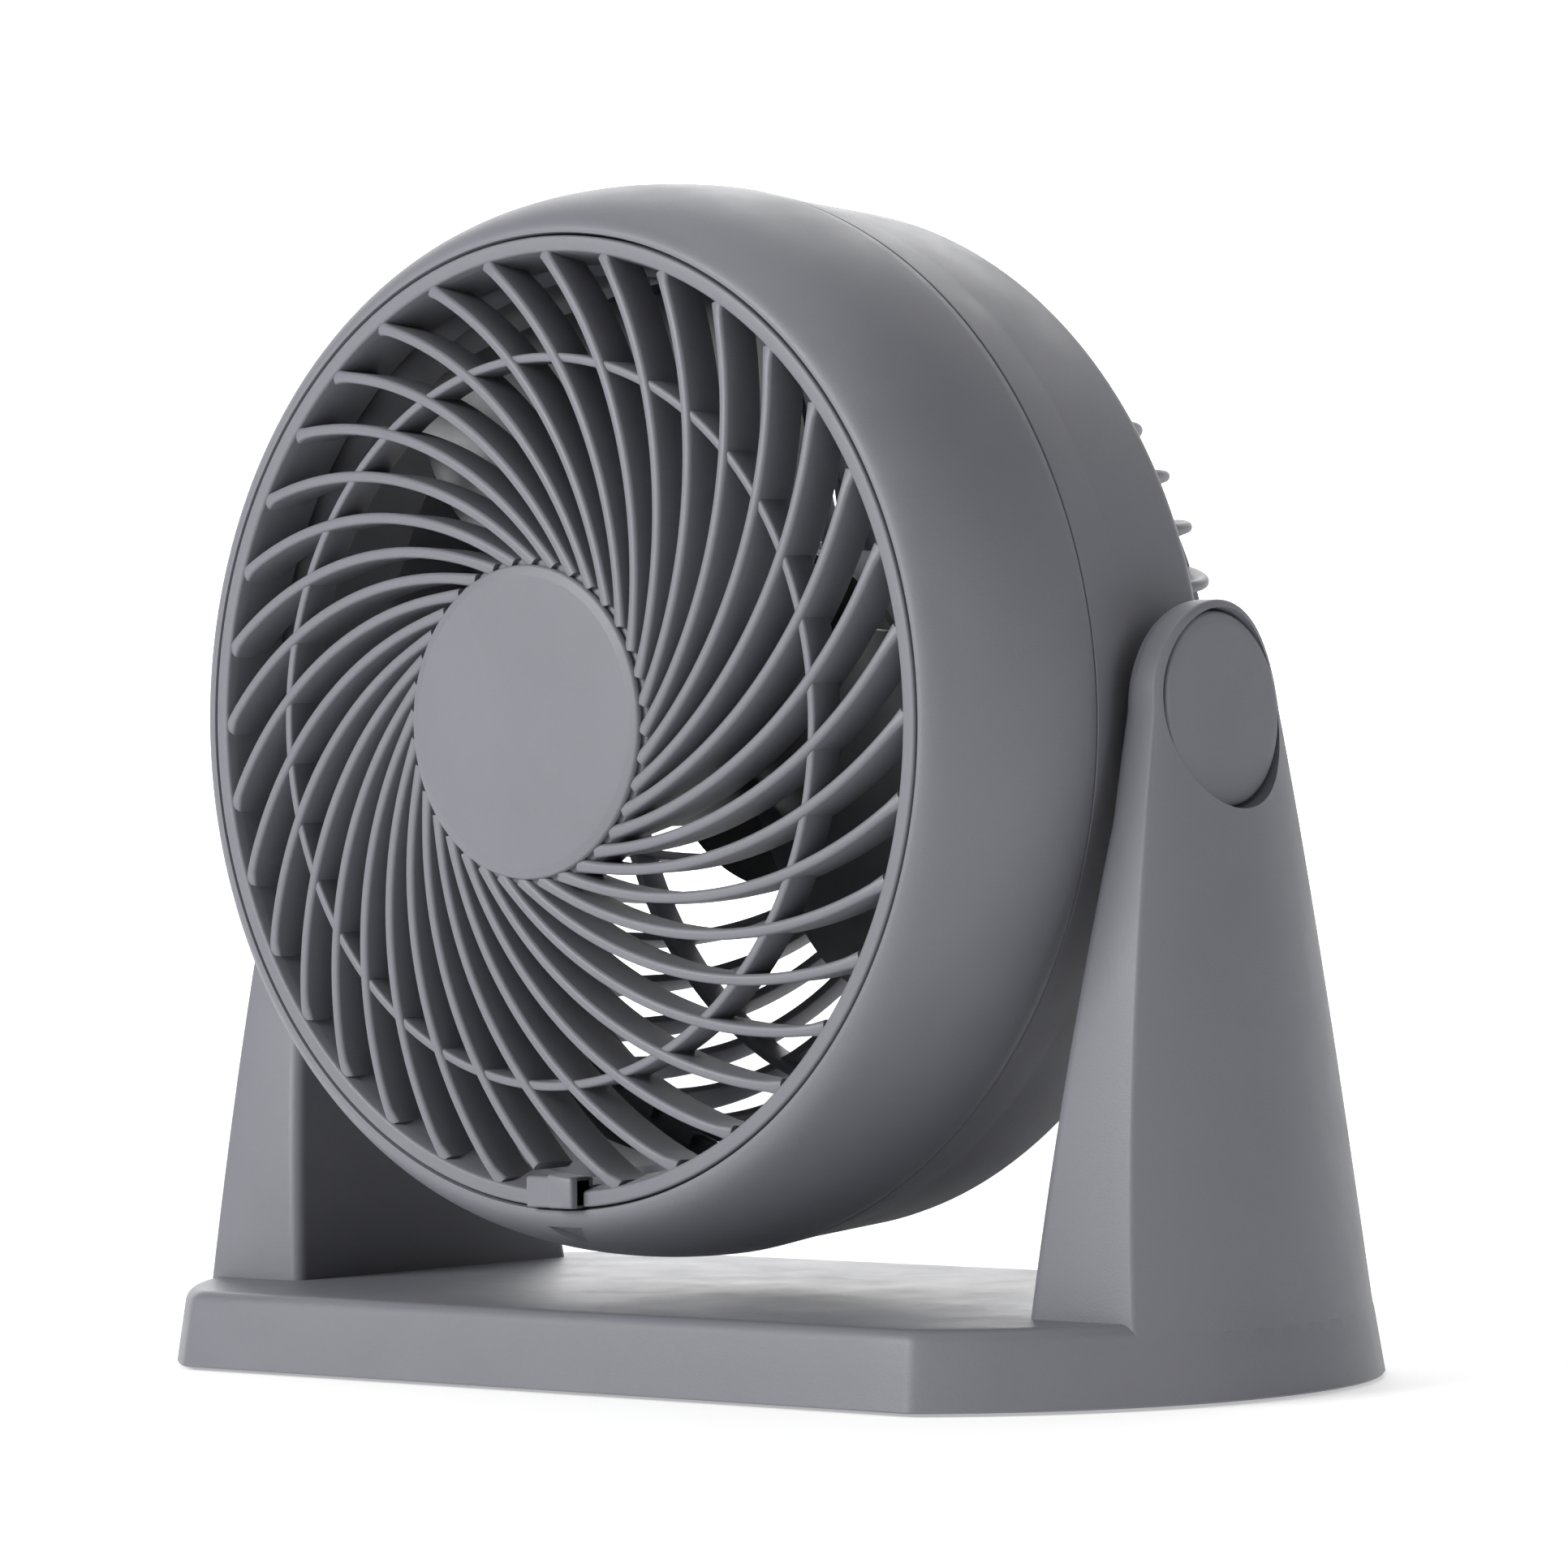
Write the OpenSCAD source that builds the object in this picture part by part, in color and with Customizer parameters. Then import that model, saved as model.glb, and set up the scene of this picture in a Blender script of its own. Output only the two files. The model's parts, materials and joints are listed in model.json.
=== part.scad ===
// Round desk fan on a U-shaped stand. X is to the right, the fan blows towards -Y, Z is up.
// The origin is on the table, under the middle of the base.

/* [Stand] */
// Height of the base's top face
base_h = 19; // [17:0.5:24]
// Depth of the base, front to back
base_d = 163.2; // [150:0.1:200]
// Plan radius of the base's rounded ends
end_r = 96.6; // [90:0.1:120]
// Wall thickness of the stand moulding
stand_wall = 2.6; // [2:0.1:3.4]
// How far the skirt's ends pull in from the table to the top face
skirt_in = 3; // [1:0.1:4]
// How far the rubber feet stand out of the base
foot_proud = 0.8; // [0.5:0.1:1.5]
// Radius of a rubber foot
foot_r = 7; // [5:0.5:9]
// Lean of the arms' outer faces, in degrees
arm_lean = 7; // [5:0.5:8]
// Thickness of an arm at the tilt axis
arm_t = 12.2; // [11.5:0.1:15]
// Radius of an arm's round top
arm_top_r = 25; // [24.5:0.5:30]
// Half width of an arm where it meets the base
arm_foot_w = 48; // [40:1:55]
// How much further in an arm's inner face is at the base than at the tilt axis
arm_foot_in = 12.2; // [6:0.1:14]
// Tilt axis's place behind the middle of the base
pivot_y = 6.2; // [0:0.1:10]

/* [Head] */
// Outer radius of the housing at its seam
housing_r = 126.7; // [115:0.1:155]
// Gap between the housing and the base below it
head_gap = 9.3; // [8:0.1:14]
// Gap between the housing and each arm
arm_gap = 2.9; // [2.5:0.1:4]
// Wall thickness of the housing shells
shell_wall = 2.5; // [2:0.1:3]
// Distance from the tilt axis forward to the grille ring's face
ring_f = 76.7; // [74:0.1:84]
// Width of the housing's rounded front rim
rim_w = 13.4; // [12:0.1:16]
// Distance from the tilt axis forward to the seam
seam_f = 30; // [27:0.5:31]
// Distance from the tilt axis back to the housing's rear edge
rear_f = 17; // [17:0.5:20]
// Depth of the rear grille behind the housing's rear edge
dome_d = 48; // [48:1:50]

/* [Front grille] */
// Number of spiral blades in the front grille
rib_n = 36; // [24:1:48]
// Thickness of a grille blade
rib_t = 2.4; // [1.6:0.1:3]
// Depth of a grille blade, front to back
rib_d = 12; // [8:0.5:13]
// How far the grille's middle stands in front of its ring
grille_dome = 9; // [4:0.5:10]
// Radius of the grille's round centre
hub_r = 36.5; // [32:0.5:42]
// Radius of the grille's middle support ring
mid_r = 84.5; // [70:0.5:92]
// Turn of the bayonet, in degrees
bayonet_turn = 12; // [8:1:16]

/* [Rear grille] */
// Number of ribs in the rear grille
rear_rib_n = 48; // [36:1:60]
// Thickness of a rear rib
rear_rib_t = 2.6; // [1.8:0.1:3]
// Depth of a rear rib, measured square to the dome
rear_rib_d = 7; // [5:0.5:8]
// Radius of the rear grille's support ring
rear_mid_r = 94; // [70:1:98]
// Outer radius of the motor pod
pod_r = 41; // [40.5:0.5:46]

/* [Air mover] */
// Number of impeller blades
blade_n = 3; // [3:1:5]
// Gap between the blade tips and the duct
tip_gap = 2.5; // [2:0.1:4]
// Outer radius of the impeller's hub
imp_hub_r = 25; // [22:0.5:30]
// Thickness of an impeller blade
blade_t = 1.8; // [1.4:0.1:2.4]
// Pitch of the blades, in degrees
blade_pitch = 27; // [20:1:30]
// Angle at which the impeller stands at rest, in degrees
blade_phase = 95; // [0:1:120]
// Radius of the motor shaft
shaft_r = 2.5; // [2:0.25:3]
// Radius of the motor's rotor
rotor_r = 11; // [9:0.5:11.5]
// Thickness of the stator stack
stack_t = 16; // [14:1:18]

/* [Pivots and knob] */
// Radius of the round pivot covers
cap_r = 22.6; // [20:0.1:22.8]
// Radius of the pivot screws' plain shank
pivot_r = 5; // [4:0.5:6]
// Radius of the speed knob
knob_r = 17; // [14:0.5:19]

/* [Hidden] */
$fn = 96;
e = 0.01;                    // cuts run this much past the faces that they open
run_c = 0.05;                // radial clearance of a running fit
fit_c = 0.1;                 // clearance of a seated or screwed joint in one body
free_c = 0.5;                // clearance between moving neighbours
grav_k = tan(arm_lean);
pivot_z = base_h + head_gap + housing_r;
arm_in = housing_r + arm_gap;
arm_out = arm_in + arm_t;
end_r_top = end_r - skirt_in;
end_r_axis = end_r_top - grav_k * (pivot_z - base_h);
end_c = arm_out - sqrt(end_r_axis * end_r_axis - pivot_y * pivot_y);
chord_in = 2.4;              // pull-in of the skirt's front and back faces
edge_c = 2.2;                // chamfer round the top face
arm_bulge = 2.6;             // outward bow of an arm's front and back edges
arm_straight = 25;           // the inner face is upright this far below the tilt axis
arm_steps = 8;
feet = [for (sx = [-1, 1], sy = [-1, 1]) [sx * (end_c + 38), sy * (base_d / 2 - 24)]];
foot_t = 3;
foot_boss_r = foot_r + 2;

// head: radii are from the fan's axis, f is forward of the tilt axis
gap_r = housing_r - rim_w;                       // bore that the grille ring sits in
ring_t = 5.2;                                    // depth of the grille ring's flange
ring_w = 3.2;                                    // width of the grille ring's face
ring_or = gap_r - free_c;
ring_ir = ring_or - ring_w;
throat_r = ring_ir - 0.6;                        // bore that the grille's skirt sits in
skirt_t = 2.2;
skirt_or = throat_r - free_c;
skirt_f = ring_f - 14.7;
lug_f = skirt_f + 1;
lug_t = 3;
lug_h = 1.8;
lug_w = 14;
lug_n = 4;
duct_r = throat_r - 4.6;
duct_f0 = seam_f - 2;
duct_f1 = ring_f - 20.7;
duct_t = 2;
tip_r = duct_r - tip_gap;
rim_h = ring_f - 33;                             // front-to-back depth of the rim's curve
rear_taper = 0.113;                              // fall of the rear shell's radius per unit length
rim_round = 6;
rear_edge_r = housing_r - rear_taper * (seam_f + rear_f - rim_round);
flange_in = rear_edge_r - rim_round - 7;
dome_r = flange_in + 3;
dome_p = 3.2;                                    // exponent of the dome's curve
dome_f = rear_f - 2;
seam_lip = 3;
boss_r = 4.6;
boss_c = duct_r + duct_t + boss_r + 1.4;
boss_a = [40, 140, 220, 320];
screw_r = 1.75;
screw_head_r = 3.3;
screw_head_t = 2.2;

// pod: the cup at the back that holds the motor and the switch
pod_wall = 2.4;
pod_f = -(dome_f + dome_d);                      // outside of the pod's back
pod_mouth = pod_f + 57;
motor_f = pod_f + 36;                            // middle of the stator stack
core_w = 44;
core_top = 17;
core_low = 28;
limb_h = 7;
window_h = 6;
window_w = 28;
bridge_t = 2.5;
bridge_gap = 6.5;                                // from the stack to a bridge's plate
bearing_r = 5;
bearing_l = 7;
bridge_f = stack_t / 2 + bridge_gap;
stud_x = 17;
stud_y = 11;
stud_r = 1.5;
ear_x = 31;
ear_r = 4;
shaft_back = motor_f - bridge_f - bridge_t - 3;
imp_back = duct_f0 - 10;
imp_front = ring_f - rib_d - 6;
imp_hub_t = 2;
imp_boss_r = 7;
nut_r = 5.5;
nut_t = 5;
shaft_front = imp_front - imp_hub_t - 1;

// pivots
boss_face = arm_in - 2.2;
washer_t = 1.7;
pivot_boss_r = 14;
recess_x = arm_in + 3.4;
pivot_head_r = 9;
pivot_head_t = 2.6;
thread_r = 3;
thread_l = 12;
cap_t = 2;
cap_x = recess_x + pivot_head_t + 1.3;
cap_seat = recess_x + 2;
cap_lean = arm_lean - 3;
cap_yaw = asin(pivot_y / end_r_axis);

// knob and switch
knob_t = 10;
knob_gap = 0.6;
spindle_r = 3;
bush_r = 4.5;
switch_w = 24;
switch_t = 11;
gland_y = -29;
gland_r = 5;
cord_r = 3.2;

// latch at the bottom of the grille ring
latch_w = 16;
latch_out = ring_or;
latch_in = ring_or - 8;
latch_front = ring_f + 2.4;
latch_back = ring_f - ring_t + 1;
latch_stroke = 0.8;
notch_c = 0.5;
tooth_w = 5;
tooth_f = skirt_f + 5.6;
tooth_t = 1.5;

grey = [0.60, 0.60, 0.63];
dark = [0.16, 0.16, 0.17];
steel = [0.75, 0.76, 0.78];
copper = [0.72, 0.42, 0.24];

// Places its children on the fan's axis: their z is forward of the tilt axis, their y is up.
module on_head() {
    translate([0, pivot_y, pivot_z]) rotate([90, 0, 0]) children();
}

// Places its children on the right-hand tilt axis: their z is along +X from the middle.
module on_pivot(side = 1) {
    translate([0, pivot_y, pivot_z]) rotate([0, side * 90, 0]) children();
}

// Places its children square to a pivot cover, which leans with the arm's outer face.
module on_cap(side = 1) {
    on_pivot(side) translate([0, 0, cap_x]) rotate([-cap_yaw, -side * cap_lean, 0])
        translate([0, 0, -cap_x]) children();
}

// A tube along z from f0 to f1.
module tube(r_out, r_in, f0, f1) {
    translate([0, 0, f0]) difference() {
        cylinder(r = r_out, h = f1 - f0);
        translate([0, 0, -e]) cylinder(r = r_in, h = f1 - f0 + 2 * e);
    }
}

module rod(r, f0, f1) {
    translate([0, 0, f0]) cylinder(r = r, h = f1 - f0);
}

// ---- stand ----

// The rounded block that the base and the arms' outer faces are cut from, pulled in by inset.
module end_block(inset, z_top) {
    r0 = end_r - inset;
    r1 = end_r_top - inset;
    r2 = r1 - grav_k * (z_top - base_h);
    for (s = [-1, 1]) translate([s * end_c, 0, 0]) {
        cylinder(r1 = r0, r2 = r1, h = base_h);
        if (z_top > base_h) translate([0, 0, base_h]) cylinder(r1 = r1, r2 = r2, h = z_top - base_h);
    }
    translate([-end_c, -end_r, 0]) cube([2 * end_c, 2 * end_r, base_h]);
}

// Side outline of the base: front and back faces pull in, with a chamfer round the top.
module base_side(inset, z_top) {
    y0 = base_d / 2 - inset;
    y1 = y0 - chord_in;
    polygon([[-y0, 0], [y0, 0], [y1, z_top - edge_c], [y1 - edge_c, z_top],
        [-y1 + edge_c, z_top], [-y1, z_top - edge_c]]);
}

module base_solid(inset, z_top) {
    intersection() {
        end_block(inset, base_h);
        rotate([90, 0, 90]) translate([0, 0, -200]) linear_extrude(400) base_side(inset, z_top);
    }
}

// Half width of an arm at a height, t = 0 at the base and 1 at the tilt axis.
function arm_w(t, inset) =
    arm_foot_w + (arm_top_r - arm_foot_w) * t + arm_bulge * 4 * t * (1 - t) - inset;

module arm_side(inset, z_low, z_top) {
    span = pivot_z - base_h;
    ts = [for (i = [0 : arm_steps]) i / arm_steps];
    right = [for (t = ts) [arm_w(t, inset), base_h + span * t]];
    left = [for (i = [arm_steps : -1 : 0]) [-right[i][0], right[i][1]]];
    translate([pivot_y, 0]) intersection() {
        union() {
            polygon(concat([[arm_w(0, inset), z_low]], right, left, [[-arm_w(0, inset), z_low]]));
            translate([0, pivot_z]) circle(r = arm_top_r - inset);
        }
        translate([-100, z_low]) square([200, z_top - z_low]);
    }
}

// Front outline of the right arm: everything outside its inner face.
module arm_front(inset, z_low, z_top) {
    polygon([[arm_in - arm_foot_in + inset, z_low], [arm_in - arm_foot_in + inset, base_h],
        [arm_in + inset, pivot_z - arm_straight], [arm_in + inset, z_top],
        [arm_in + 60, z_top], [arm_in + 60, z_low]]);
}

module arms(inset, z_low, z_top) {
    intersection() {
        end_block(inset, z_top + e);
        rotate([90, 0, 90]) translate([0, 0, -200]) linear_extrude(400) arm_side(inset, z_low, z_top);
        for (s = [0, 1]) mirror([s, 0, 0]) translate([0, 150, 0]) rotate([90, 0, 0])
            linear_extrude(300) arm_front(inset, z_low, z_top);
    }
}

module stand() {
    arm_core = pivot_z - arm_top_r - 8;
    color(grey) difference() {
        union() {
            difference() {
                union() {
                    base_solid(0, base_h);
                    arms(0, foot_proud, pivot_z + arm_top_r);
                }
                difference() {
                    union() {
                        translate([0, 0, -e]) base_solid(stand_wall, base_h - stand_wall);
                        arms(stand_wall, -e, arm_core);
                    }
                    // stiffening webs under the top face
                    for (x = [-end_c, 0, end_c]) translate([x - 1, -base_d / 2, base_h - 12])
                        cube([2, base_d, 12]);
                    for (y = [-base_d / 4, base_d / 4]) translate([-end_c - 40, y - 1, base_h - 12])
                        cube([2 * end_c + 80, 2, 12]);
                }
            }
            for (p = feet) translate([p[0], p[1], foot_t]) cylinder(r = foot_boss_r, h = base_h - foot_t - 1);
        }
        translate([-200, -200, -1]) cube([400, 400, 1 + foot_proud]);
        for (s = [-1, 1]) on_pivot(s) {
            rod(pivot_r + run_c, arm_in - 1, recess_x + 1);
            rod(pivot_head_r + 1.5, recess_x, arm_out);
        }
        for (s = [-1, 1]) on_cap(s) rod(cap_r + fit_c, cap_seat, arm_out + 20);
    }
}

module rubber_feet() {
    color(dark) for (p = feet) translate([p[0], p[1], 0]) {
        cylinder(r1 = foot_r - 0.6, r2 = foot_r, h = 0.6);
        translate([0, 0, 0.6]) cylinder(r = foot_r, h = foot_t - 0.6);
    }
}

module pivot_cap(side) {
    color(grey) on_cap(side) {
        rod(cap_r, cap_x, cap_x + cap_t);
        tube(cap_r, cap_r - 2, cap_seat, cap_x + 1);
    }
}

module pivot_cap_left() { pivot_cap(-1); }

module pivot_cap_right() { pivot_cap(1); }

// ---- housing ----

// The rim's curve: a quarter of an ellipse from the grille ring to the housing's full radius.
function rim_curve(w, h, a0, a1, steps) =
    [for (i = [0 : steps]) let (a = a0 + (a1 - a0) * i / steps)
        [gap_r + w * sin(a), ring_f - rim_h + h * cos(a)]];

module front_housing_section() {
    inner_w = rim_w - shell_wall;
    inner_h = rim_h - shell_wall;
    polygon(concat(
        rim_curve(rim_w, rim_h, 2, 90, 14),
        [[housing_r, seam_f], [housing_r - shell_wall, seam_f]],
        rim_curve(inner_w, inner_h, 90, 28, 8),
        [[throat_r + 6, ring_f - 9], [throat_r + 6, duct_f1 + 2], [duct_r + duct_t, duct_f1 - 2],
         [duct_r + duct_t, duct_f0], [duct_r, duct_f0], [duct_r, duct_f1], [throat_r, duct_f1 + 4],
         [throat_r, ring_f - ring_t - 0.7], [gap_r, ring_f - ring_t - 0.7], [gap_r, ring_f - 0.6]]));
}

// A wedge of a tube, from angle a0 over the sweep.
module arc_block(r0, r1, f0, f1, a0, sweep) {
    translate([0, 0, f0]) rotate_extrude(start = a0, angle = sweep)
        translate([r0, 0]) square([r1 - r0, f1 - f0]);
}

// Screw posts from f0 to f1, each with a web out to the wall that starts at web_f.
module screw_bosses(f0, f1, web_f, wall_r) {
    for (a = boss_a) rotate(a) {
        translate([boss_c, 0, 0]) rod(boss_r, f0, f1);
        translate([boss_c, -1, web_f]) cube([wall_r - boss_c, 2, f1 - web_f]);
    }
}

module front_housing() {
    lug_sweep = lug_w / throat_r * 180 / PI + 1;
    mark_a = asin(7 / rim_w);
    color(grey) on_head() difference() {
        union() {
            rotate_extrude() front_housing_section();
            screw_bosses(seam_f + 0.2, seam_f + 20, seam_f + seam_lip + 0.5, housing_r - shell_wall + 0.6);
        }
        for (a = boss_a) rotate(a) translate([boss_c, 0, 0]) rod(screw_r + fit_c, seam_f - 1, seam_f + 16);
        // groove that the bayonet lugs turn in, and the slots that let them in
        tube(throat_r + lug_h + 0.4, throat_r - 1, lug_f - free_c, lug_f + lug_t + free_c);
        for (i = [0 : lug_n - 1])
            arc_block(throat_r - 1, throat_r + lug_h + 0.4, lug_f, ring_f - ring_t,
                45 + bayonet_turn + i * 90 - lug_sweep / 2, lug_sweep);
        // slot that the latch's tooth turns in
        arc_block(gap_r - 5, gap_r + 1.8, tooth_f - free_c - latch_stroke, ring_f - ring_t,
            -90 - tooth_w / 2 - 1, tooth_w + 2 + bayonet_turn);
        // triangle pressed into the rim below the latch
        rotate(-90) translate([gap_r + 7, 0, ring_f - rim_h * (1 - cos(mark_a))])
            rotate([0, atan(rim_h * tan(mark_a) / rim_w), 0]) translate([0, 0, -1.3]) linear_extrude(6)
                polygon([[-5, -5.5], [-5, 5.5], [5, 0]]);
    }
}

function rear_r(f) = housing_r - rear_taper * (seam_f - f);

module rear_housing_section() {
    c = [rear_edge_r - rim_round, -rear_f + rim_round];
    r_in = rim_round - shell_wall;
    top = seam_f - 0.3;
    polygon(concat(
        [[housing_r - 0.1, top]],
        [for (i = [0 : 6]) let (a = -i * 15) [c[0] + rim_round * cos(a), c[1] + rim_round * sin(a)]],
        [[flange_in, -rear_f], [flange_in, -rear_f + shell_wall]],
        [for (i = [6 : -1 : 0]) let (a = -i * 15) [c[0] + r_in * cos(a), c[1] + r_in * sin(a)]],
        [[housing_r - shell_wall - 1.6, top - 6],
         [housing_r - shell_wall - 1.6, top + seam_lip], [housing_r - shell_wall - 0.2, top + seam_lip],
         [housing_r - shell_wall - 0.2, top]]));
}

module rear_housing() {
    seat_f = -rear_f + shell_wall;
    color(grey) {
        difference() {
            union() {
                on_head() {
                    rotate_extrude() rear_housing_section();
                    intersection() {
                        screw_bosses(seat_f - 1, seam_f - 0.3, seat_f - 1, housing_r);
                        rotate_extrude() polygon([[0, -rear_f], [rear_edge_r - 1.5, -rear_f],
                            [rear_edge_r - 1.5, -rear_f + rim_round], [housing_r - 1.5, seam_f], [0, seam_f]]);
                    }
                }
                for (s = [-1, 1]) on_pivot(s) rod(pivot_boss_r, housing_r - 14, boss_face);
            }
            on_head() for (a = boss_a) rotate(a) translate([boss_c, 0, 0]) {
                rod(screw_r + fit_c, -rear_f - 1, seam_f + 1);
                rod(screw_head_r + 0.4, -rear_f - 1, seat_f + 6);
            }
            for (s = [-1, 1]) on_pivot(s) rod(thread_r + fit_c, housing_r - 30, boss_face + 1);
        }
    }
}

module housing_screws() {
    head_f = -rear_f + shell_wall + 6;
    color(steel) on_head() for (a = boss_a) rotate(a) translate([boss_c, 0, 0]) {
        rod(screw_r, head_f, seam_f + 14);
        difference() {
            rod(screw_head_r, head_f - screw_head_t, head_f);
            for (k = [0, 90]) rotate(k) translate([-2, -0.4, head_f - screw_head_t - e]) cube([4, 0.8, 1.2]);
        }
    }
}

// ---- pivots ----

module pivot_screws() {
    slot_t = 1.2;
    color(steel) for (s = [-1, 1]) on_pivot(s) difference() {
        union() {
            rod(pivot_r, boss_face, recess_x + free_c);
            rod(pivot_head_r, recess_x + free_c, recess_x + pivot_head_t);
            rod(thread_r, boss_face - thread_l, boss_face);
        }
        for (k = [0, 90]) rotate(k) translate([-4, -0.6, recess_x + pivot_head_t - slot_t]) cube([8, 1.2, 2]);
    }
}

module friction_washers() {
    color(dark) for (s = [-1, 1]) on_pivot(s)
        tube(pivot_boss_r - 1, pivot_r + fit_c, boss_face, boss_face + washer_t);
}

// ---- grilles ----

// Angle at a spiral's centre between the fan's axis and a point at radius r.
function spiral_angle(arc_r, arc_d, r) = acos((arc_r * arc_r + arc_d * arc_d - r * r) / (2 * arc_r * arc_d));

// Angle at the fan's axis between a spiral's centre and its point at radius r.
function spiral_lead(arc_r, arc_d, r) = acos((r * r + arc_d * arc_d - arc_r * arc_r) / (2 * r * arc_d));

// An upright blade along an arc of radius arc_r whose centre is arc_d from the axis.
// It runs from radius r0 to r1, where it ends at angle a; turn is 1 or -1.
module spiral_blade(arc_r, arc_d, r0, r1, t, f0, f1, a, turn) {
    g0 = spiral_angle(arc_r, arc_d, r0);
    g1 = spiral_angle(arc_r, arc_d, r1);
    rotate(a) mirror([0, turn > 0 ? 0 : 1, 0]) rotate(spiral_lead(arc_r, arc_d, r1))
        translate([arc_d, 0, f0]) rotate_extrude(start = 180 + g0, angle = g1 - g0)
            translate([arc_r - t / 2, 0]) square([t, f1 - f0]);
}

arc_r = gap_r * 0.944;
arc_d = gap_r * 0.697;
rear_arc_r = gap_r * 1.06;
rear_arc_d = gap_r * 0.985;

plate_f = grille_front(hub_r) - 1.4;

function grille_front(r) = ring_f - 0.2 + grille_dome * (1 - pow(r / ring_or, 2));

// Outline, from the hub to the ring, that the blades are trimmed to. They stop short of the badge
// and of the throat that the skirt sits in.
module grille_band() {
    r0 = hub_r + fit_c;
    r1 = ring_ir + 1;
    low1 = skirt_or - 0.8;
    ts = [for (i = [0 : 7]) i / 7];
    step_f = ring_f - ring_t + 0.5;
    polygon(concat([for (t = ts) let (r = r0 + (r1 - r0) * t) [r, grille_front(r)]],
        [[r1, step_f], [low1, step_f]],
        [for (t = ts) let (r = low1 + (hub_r - 2 - low1) * t) [r, grille_front(r) - rib_d]],
        [[hub_r - 2, plate_f - 1], [r0, plate_f - 1]]));
}

module ring_section() {
    polygon([[ring_ir, ring_f], [ring_or, ring_f], [ring_or, ring_f - ring_t],
        [skirt_or, ring_f - ring_t], [skirt_or, skirt_f], [skirt_or - skirt_t, skirt_f]]);
}

module front_grille() {
    lug_sweep = lug_w / throat_r * 180 / PI;
    color(grey) on_head() difference() {
        union() {
            for (i = [0 : rib_n - 1]) intersection() {
                spiral_blade(arc_r, arc_d, hub_r - 2, ring_ir + 0.6, rib_t, skirt_f, ring_f + 12,
                    i * 360 / rib_n, 1);
                rotate_extrude() grille_band();
            }
            rotate_extrude() ring_section();
            tube(mid_r + 1.2, mid_r - 1.2, grille_front(mid_r) - 10, grille_front(mid_r) - 0.8);
            tube(hub_r, hub_r - 2.4, plate_f - rib_d + 2, plate_f);
            rod(hub_r, plate_f - 2.4, plate_f);
            for (i = [0 : lug_n - 1])
                arc_block(skirt_or - 1, throat_r + lug_h, lug_f, lug_f + lug_t,
                    45 + i * 90 - lug_sweep / 2, lug_sweep);
        }
        // pocket for the latch, and the window for its tooth
        rotate(-90) translate([latch_in - notch_c, -latch_w / 2 - notch_c, latch_back - latch_stroke - notch_c])
            cube([20, latch_w + 2 * notch_c, 20]);
        rotate(-90) translate([skirt_or - 4, -tooth_w - notch_c, tooth_f - notch_c - latch_stroke])
            cube([10, 2 * (tooth_w + notch_c), 20]);
    }
}

module hub_badge() {
    f0 = plate_f + fit_c;
    color(grey) on_head() {
        rod(hub_r, f0, f0 + 1.6);
        translate([0, 0, f0 + 1.6]) cylinder(r1 = hub_r, r2 = hub_r - 1.2, h = 0.9);
    }
}

module latch_tab() {
    color(grey) on_head() rotate(-90) {
        translate([latch_in, -latch_w / 2, latch_back]) cube([latch_out - latch_in, latch_w, latch_front - latch_back]);
        translate([latch_in, 0, latch_front - e]) cube([latch_out - latch_in, latch_w / 2, 1.2]);
        translate([skirt_or - 3.5, -tooth_w, tooth_f]) cube([3, 2 * tooth_w, latch_back - tooth_f + e]);
        translate([skirt_or - 3.5, -tooth_w / 2, tooth_f]) cube([gap_r - skirt_or + 4, tooth_w, tooth_t]);
    }
}

function dome_curve(r, d, steps, r_stop) =
    [for (i = [0 : steps]) let (a = 90 * i / steps,
        cr = r * pow(cos(a), 2 / dome_p), cf = d * pow(sin(a), 2 / dome_p))
        if (cr > r_stop) [cr, -dome_f - cf]];

// Outline that the rear ribs are trimmed to. Their outer ends bulge behind the housing's rear face.
module dome_band() {
    inner = dome_curve(dome_r - rear_rib_d, dome_d - rear_rib_d, 9, pod_r);
    count = len(inner);
    outer = dome_curve(dome_r, dome_d, 9, pod_r);
    behind = -rear_f - 0.3;
    polygon(concat([[flange_in - 0.8, -dome_f], [flange_in - 0.8, behind], [dome_r, behind]],
        [for (i = [1 : len(outer) - 1]) outer[i]],
        [[pod_r - 1.5, pod_f], [pod_r - 1.5, pod_f + rear_rib_d]],
        [for (i = [count - 1 : -1 : 0]) inner[i]]));
}

function dome_at(r) = -dome_f - dome_d * pow(1 - pow(r / dome_r, dome_p), 1 / dome_p);

module rear_grille() {
    seat = -rear_f + shell_wall;
    ring_back = dome_at(rear_mid_r);
    color(grey) on_head() difference() {
        union() {
            for (i = [0 : rear_rib_n - 1]) intersection() {
                spiral_blade(rear_arc_r, rear_arc_d, pod_r - 1.5, dome_r - 0.5, rear_rib_t, pod_f, -dome_f + 2,
                    i * 360 / rear_rib_n, -1);
                rotate_extrude() dome_band();
            }
            tube(flange_in - 0.8, dome_r - rear_rib_d - 2, -dome_f - 3, seat + 0.1);
            tube(boss_c - boss_r - 0.4, dome_r - rear_rib_d - 2, seat + 0.1, seat + 2.6);
            tube(rear_mid_r + 1.2, rear_mid_r - 1.2, ring_back + 0.8, ring_back + 8);
            tube(pod_r, pod_r - pod_wall, pod_f, pod_mouth);
            rod(pod_r, pod_f, pod_f + pod_wall);
            for (s = [-1, 1]) translate([s * ear_x, 0, 0]) rod(ear_r, pod_f + 1, motor_f - bridge_f - bridge_t - 0.1);
        }
        rod(bush_r + fit_c, pod_f - 1, pod_f + 10);
        translate([0, gland_y, 0]) rod(gland_r + fit_c, pod_f - 1, pod_f + 10);
        for (s = [-1, 1]) translate([s * ear_x, 0, 0])
            rod(screw_r + fit_c, pod_f + 6, motor_f - bridge_f);
    }
}

// ---- rotor ----

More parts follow.
